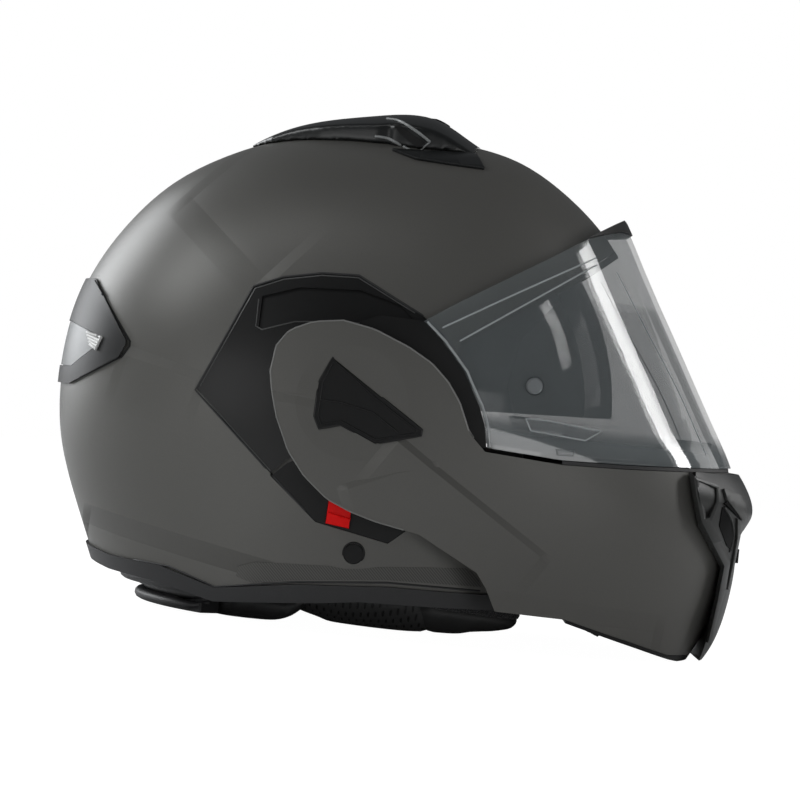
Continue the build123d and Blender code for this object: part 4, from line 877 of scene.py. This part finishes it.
def facets(name, corners, faces, thick, bevel):
    """A faceted moulding. Each face lists the names of its corners. Sizes in millimetres."""
    order = list(corners)
    mesh = bpy.data.meshes.new(name)
    mesh.from_pydata([photo_point(*corners[key]) for key in order], [],
                     [[order.index(key) for key in face.split()] for face in faces])
    piece = bpy.data.objects.new(name, mesh)
    scene.collection.objects.link(piece)
    facing_out(piece)
    modified(piece, "SOLIDIFY", thickness=thick * mm, offset=-1)
    softened(piece, bevel, 14)
    print(name, len(piece.data.polygons), "faces")
    return piece


finished(nodes["chin_mask"], mask_plastic)
frame_corners = {
    "r0": (688.5, 472.5, 76), "r1": (693, 500, 76.5), "r2": (697.5, 526, 72.5), "r3": (709, 547, 63),
    "r4": (720, 567.5, 51.5), "r5": (713.8, 600, 48), "r6": (709, 622, 42), "r7": (704.5, 642, 34),
    "c0": (693.5, 475.5, 80), "c1": (697, 499, 80.5), "c2": (702, 522, 77.5), "c3": (713, 543.5, 68),
    "c4": (724.5, 566, 56), "c5": (718, 600, 52), "c6": (713, 622, 49), "c7": (708, 643, 44),
    "i0": (719.5, 485.5, 68.5), "i1": (719.5, 502, 71.5), "i2": (711.5, 522, 73.5), "i3": (722, 541, 61),
    "i4": (730.5, 562, 45), "i5": (726, 591, 45), "i6": (719, 614, 45), "i7": (711, 645, 38),
    "k0": (697.5, 480, 79.5), "k1": (716.5, 488, 70), "k2": (716.5, 501, 71.5), "k3": (709.5, 518, 74.5),
    "k4": (704.5, 519, 77), "f0": (704, 486, 73.5), "f1": (714.5, 491, 66), "f2": (714, 500.5, 67.5),
    "f3": (707.5, 515, 71),
}
frame_faces = [
    "r0 r1 c1 c0", "r1 r2 c2 c1", "r2 r3 c3 c2", "r3 r4 c4 c3", "r4 r5 c5 c4", "r5 r6 c6 c5", "r6 r7 c7 c6",
    "c2 c3 i3 i2", "c3 c4 i4 i3", "c4 c5 i5 i4", "c5 c6 i6 i5", "c6 c7 i7 i6", "c0 k0 k1 i0", "i0 k1 k2 i1",
    "i1 k2 k3 i2", "i2 k3 k4 c2", "c2 k4 k0 c1", "c1 k0 c0", "k0 f0 f1 k1", "k1 f1 f2 k2", "k2 f2 f3 k3",
    "k3 f3 k4", "k4 f3 f0 k0", "f0 f3 f2 f1",
]
mask_frame = facets("mask_frame", frame_corners, frame_faces, 1.0, 0.35)
pocket_tree = surface_of(mask_frame)
place_piece(mask_frame, mask_plastic, "chin_bar", angle=25)
# The pocket is a near-black plate: painted shade in the recess.
pocket = [(704.6, 487.5), (713.5, 492), (713.2, 500), (707.5, 513)]
add_plate("mask_pocket", pocket, pocket_tree, 0.05, 0.3, mask_painted_shade, "chin_bar", bevel=0, grid=4)

# %% The raised block and the blade, lighter as a painted highlight, the slot and channel, near black as painted shade, and the vane
front_tree = surface_of("chin_mask")
channel = [(722, 507), (725, 508), (733, 522), (735, 536), (731, 551), (726, 545), (719, 526)]
block = [(722, 489), (742, 497), (745, 514), (743.5, 520.5), (740, 518.5), (725.5, 500.5)]
slot = [(723, 503.5), (727, 501), (741.5, 516), (740, 520)]
blade = [(736, 518), (741, 522.5), (736.5, 545), (733, 562), (727.5, 590), (725.5, 589), (731.5, 560),
         (735.5, 538)]
for name, outline, lift, thick, bevel, finish in (("mask_channel", channel, 0.05, 0.3, 0, mask_painted_shade),
                                                  ("mask_block", block, 0.1, 1.3, 0.5, mask_painted_highlight),
                                                  ("mask_slot", slot, 0.1, 0.9, 0.2, mask_painted_shade),
                                                  ("mask_blade", blade, 0.1, 1.1, 0.45, mask_painted_highlight)):
    add_plate(name, outline, front_tree, lift, thick, finish, "chin_bar", bevel=bevel, grid=4)
vane = [(724, 507), (731.5, 521), (733, 537), (729, 552)]
add_bead("mask_vane", vane, front_tree, 0.5, mask_plastic, "chin_bar", lift=0.3, smooth=True)

# %% [markdown]
# ## The visor
# A clear moulded lens with a stepped edge: two fine ledges run along its top, the tinted rear edge is thicker, and
# a finger tab and a small catch stand on its lower part. They are thin plates and beads of a clear plastic lighter
# than the lens, a painted highlight, and are seen by their edges.

# %% Ledges, the rear lip, tab and catch


def nudged(pixel, tree, step=0.5, beyond=2.5):
    """The place moved right until it lies on the near side of the surface, and a little beyond."""
    across, down = pixel
    for attempt in range(40):
        place = met(tree, across, down)[0]
        if place and place.y < -far_side:
            break
        across += step
    return across + beyond, down


def add_line(name, line, radius, **settings):
    """A line of lighter clear plastic on the visor: a painted highlight."""
    add_bead(name, line, visor_tree, radius, lens_highlight, "visor", "clear_lens", **settings)


ledges = [[(442.5, 327.8), (520, 292), (596, 258)], [(460, 341), (530, 302), (596.5, 265)]]
for index, line in enumerate(ledges):
    add_line(f"visor_ledge_{index}", line, 0.45, lift=0.1, smooth=True)
rear_edge = [(424.5, 321.5), (442.5, 341), (464, 371.5), (479, 406), (484.5, 424), (487, 447)]
add_line("visor_rear_lip", [nudged(pixel, visor_tree) for pixel in smooth_path(rear_edge, 4)], 0.6)
add_line("visor_inner_line", [(617, 272), (648, 333), (680, 395), (706, 455)], 0.3, smooth=True)
tab = [(525, 419), (545, 421), (600, 432), (584, 441), (530, 431)]
add_plate("visor_tab", tab, visor_tree, 0.0, 1.4, lens_edge_highlight, "visor", "clear_lens", bevel=0.5)
add_line("visor_tab_edge", tab, 0.4, lift=1.4, closed=True)
catch = [(556, 449), (574, 450), (573, 456.5), (557, 455.5)]
add_plate("visor_catch", catch, visor_tree, 0.0, 1.6, lens_edge_highlight, "visor", "clear_lens", grid=5)

# %% Clear caps over the insert's pins, with a ring of small flutes
low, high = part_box("anti_fog_pins")
middle_x = (low[0] + high[0]) / 2
middle_z = (low[2] + high[2]) / 2
for side, hand in ((-1, "right"), (1, "left")):
    bpy.ops.mesh.primitive_cylinder_add(vertices=36, radius=4.3 * mm, depth=5.2 * mm,
                                        location=(middle_x, side * 105.4 * mm, middle_z),
                                        rotation=(math.radians(90), 0, 0))
    cap = bpy.context.object
    cap.name = f"insert_pin_{hand}"
    bpy.ops.object.transform_apply(location=True, rotation=True, scale=True)
    bpy.ops.object.mode_set(mode="EDIT")
    bpy.ops.mesh.select_all(action="DESELECT")
    bpy.ops.mesh.select_mode(type="FACE")
    bpy.ops.object.mode_set(mode="OBJECT")
    for face in cap.data.polygons:
        face.select = abs(face.normal.y) > 0.9
    bpy.ops.object.mode_set(mode="EDIT")
    bpy.ops.mesh.inset(thickness=1.1 * mm)
    bpy.ops.transform.shrink_fatten(value=-0.7 * mm)
    bpy.ops.object.mode_set(mode="OBJECT")
    for index, vertex in enumerate(cap.data.vertices):
        off = Vector((vertex.co.x - middle_x, 0, vertex.co.z - middle_z))
        if off.length > 4 * mm and index % 2:
            vertex.co -= off * 0.09
    place_piece(cap, pin_clear, "visor", twin=False)
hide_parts("anti_fog_pins")
print("caps over the insert's pins: 2")

# %% [markdown]
# ## Padding
# The pads are sewn bags of fabric over foam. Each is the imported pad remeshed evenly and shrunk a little,
# and is blown up by a short cloth simulation with its points kept within a few millimetres, which rounds
# its edges and lets it swell between them as a stuffed bag does. Seams and panels come after.

# %% A pad from a packed one


def soft_pad(node, name, voxel=5, shrink=1.2, cap=4):
    """A swollen copy of a packed pad, remeshed, blown up as cloth, and divided once. Sizes in mm."""
    pressure = 4.0
    frames = 20
    pad = even_copy(name, voxel, node)
    home = [vertex.co.copy() for vertex in pad.data.vertices]
    normals = [vertex.normal.copy() for vertex in pad.data.vertices]
    for vertex, normal in zip(pad.data.vertices, normals):
        vertex.co -= normal * shrink * mm
    cloth = pad.modifiers.new("cloth", "CLOTH")
    cloth.settings.use_pressure = True
    cloth.settings.uniform_pressure_force = pressure
    cloth.settings.effector_weights.gravity = 0
    cloth.settings.quality = 4
    cloth.collision_settings.use_collision = False
    cloth.point_cache.frame_end = frames
    for number in range(1, frames + 1):
        scene.frame_set(number)
    bpy.ops.object.modifier_apply(modifier="cloth")
    scene.frame_set(1)
    for vertex, start in zip(pad.data.vertices, home):
        move = vertex.co - start
        if move.length > cap * mm:
            vertex.co = start + move.normalized() * cap * mm
    modified(pad, "SMOOTH", iterations=6)
    modified(pad, "SUBSURF", levels=1, render_levels=1)
    return pad


def keep_inside(pad, node):
    """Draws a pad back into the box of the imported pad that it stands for."""
    low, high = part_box(node)
    for vertex in pad.data.vertices:
        for axis in range(3):
            vertex.co[axis] = max(low[axis], min(high[axis], vertex.co[axis]))
    return low, high


def cut_across(pad, place, normal):
    """Cuts a pad's faces along a plane, so that a seam can run there."""
    only(pad)
    all_faces(bpy.ops.mesh.bisect, plane_co=place, plane_no=normal)


def seam_at(pad, near, depth=0.9, width=2.2):
    """Pulls the skin in along a seam: near() gives each point's distance from it, in metres."""
    normals = [vertex.normal.copy() for vertex in pad.data.vertices]
    for vertex, normal in zip(pad.data.vertices, normals):
        distance = abs(near(vertex.co)) / (width * mm)
        if distance < 1:
            vertex.co -= normal * depth * mm * (1 - distance) ** 2


def stand_in(pad, node, body="helmet_shell"):
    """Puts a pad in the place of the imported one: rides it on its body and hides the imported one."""
    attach(pad, body)
    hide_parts(node)
    print(pad.name, len(pad.data.polygons), "faces")


# %% Cheek pads: mesh fabric above, perforated leatherette below, plain leatherette at the front
cheek = soft_pad("cheek_pad_right", "cheek_cushion_right")
low, high = keep_inside(cheek, "cheek_pad_right")
skirted = 34 * mm
stretch_at_foot = 0.36
drop_at_foot = 2.4 * mm
for vertex in cheek.data.vertices:
    near_foot = max(0.0, 1 - (vertex.co.z - low[2]) / skirted)
    vertex.co.x += (vertex.co.x - (low[0] + high[0]) / 2) * stretch_at_foot * near_foot
    vertex.co.z -= drop_at_foot * near_foot
seam_height = low[2] + 13 * mm
seam_front = photo_point(430, 620, 60).x
cut_across(cheek, (0, 0, seam_height), (0.06, 0, 1))
cut_across(cheek, (seam_front, 0, 0), (1, 0, 0.35))


def from_low_seam(place):
    return (place.z - seam_height + 0.06 * place.x) / 1.002


def from_front_seam(place):
    return (place.x - seam_front + 0.35 * place.z) / 1.06


seam_at(cheek, from_low_seam)
seam_at(cheek, lambda place: from_front_seam(place) if from_low_seam(place) < 0 else 1)
finished(cheek, knit, perforated, leather)
for face in cheek.data.polygons:
    face.material_index = 0
    if from_low_seam(face.center) < 0:
        face.material_index = 2 if from_front_seam(face.center) > 0 else 1
smoothed(cheek, 50)
stand_in(cheek, "cheek_pad_right")
stand_in(mirrored(cheek, "cheek_cushion_left"), "cheek_pad_left")

# %% Neck roll: one long bolster with a seam between its leatherette foot and its knit top
roll = soft_pad("neck_roll", "neck_cushion", shrink=1.0, cap=3)
low, high = keep_inside(roll, "neck_roll")
roll_seam = low[2] + 12 * mm
cut_across(roll, (0, 0, roll_seam), (0, 0, 1))
seam_at(roll, lambda place: place.z - roll_seam, depth=0.8)
finished(roll, leather, knit)
for face in roll.data.polygons:
    face.material_index = 1 if face.center.z > roll_seam else 0
smoothed(roll, 50)
stand_in(roll, "neck_roll")

# %% Crown pad: the inner cap, with channels sewn along and across it
crown_pad = soft_pad("comfort_liner", "crown_cushion", voxel=6, shrink=0.6, cap=2)
keep_inside(crown_pad, "comfort_liner")
channels = (-0.05, 0.0, 0.05)
cross_height = 0.135
seam_at(crown_pad, lambda place: min((place.y - at for at in channels), key=abs), depth=1.2, width=3)
seam_at(crown_pad, lambda place: place.z - cross_height, depth=1.0, width=3)
finished(crown_pad, knit)
smoothed(crown_pad, 50)
stand_in(crown_pad, "comfort_liner")

# %% Chin curtain: a two-layer apron, gathered, so its skin is wrinkled
apron = even_copy("chin_apron", 0.9, "chin_curtain")
fold_depth = 0.45
normals = [vertex.normal.copy() for vertex in apron.data.vertices]
for vertex, normal in zip(apron.data.vertices, normals):
    across = vertex.co.y * 420
    fold = math.sin(across + 2.2 * math.sin(vertex.co.z * 330)) + 0.5 * math.sin(2.3 * across + 1.1)
    vertex.co += normal * fold_depth * mm * (fold - 1)
modified(apron, "SMOOTH", iterations=4)
keep_inside(apron, "chin_curtain")
finished(apron, fabric)
smoothed(apron, 50)
stand_in(apron, "chin_curtain", "chin_bar")

# %% [markdown]
# ## Straps
# The chin straps are woven webbing, 24 mm wide. They are flat, so they are shaped directly: the packed
# strap with its edges rounded, and the weave in its finish.

# %% Webbing with rounded edges
for hand in ("right", "left"):
    strap = packed_copy(f"webbing_{hand}", f"chin_strap_{hand}", quads=True)
    softened(strap, 0.45, 50)
    finished(strap, webbing)
    smoothed(strap, 40)
    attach(strap, "helmet_shell")
    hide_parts(f"chin_strap_{hand}")
    print(strap.name, len(strap.data.polygons), "faces")
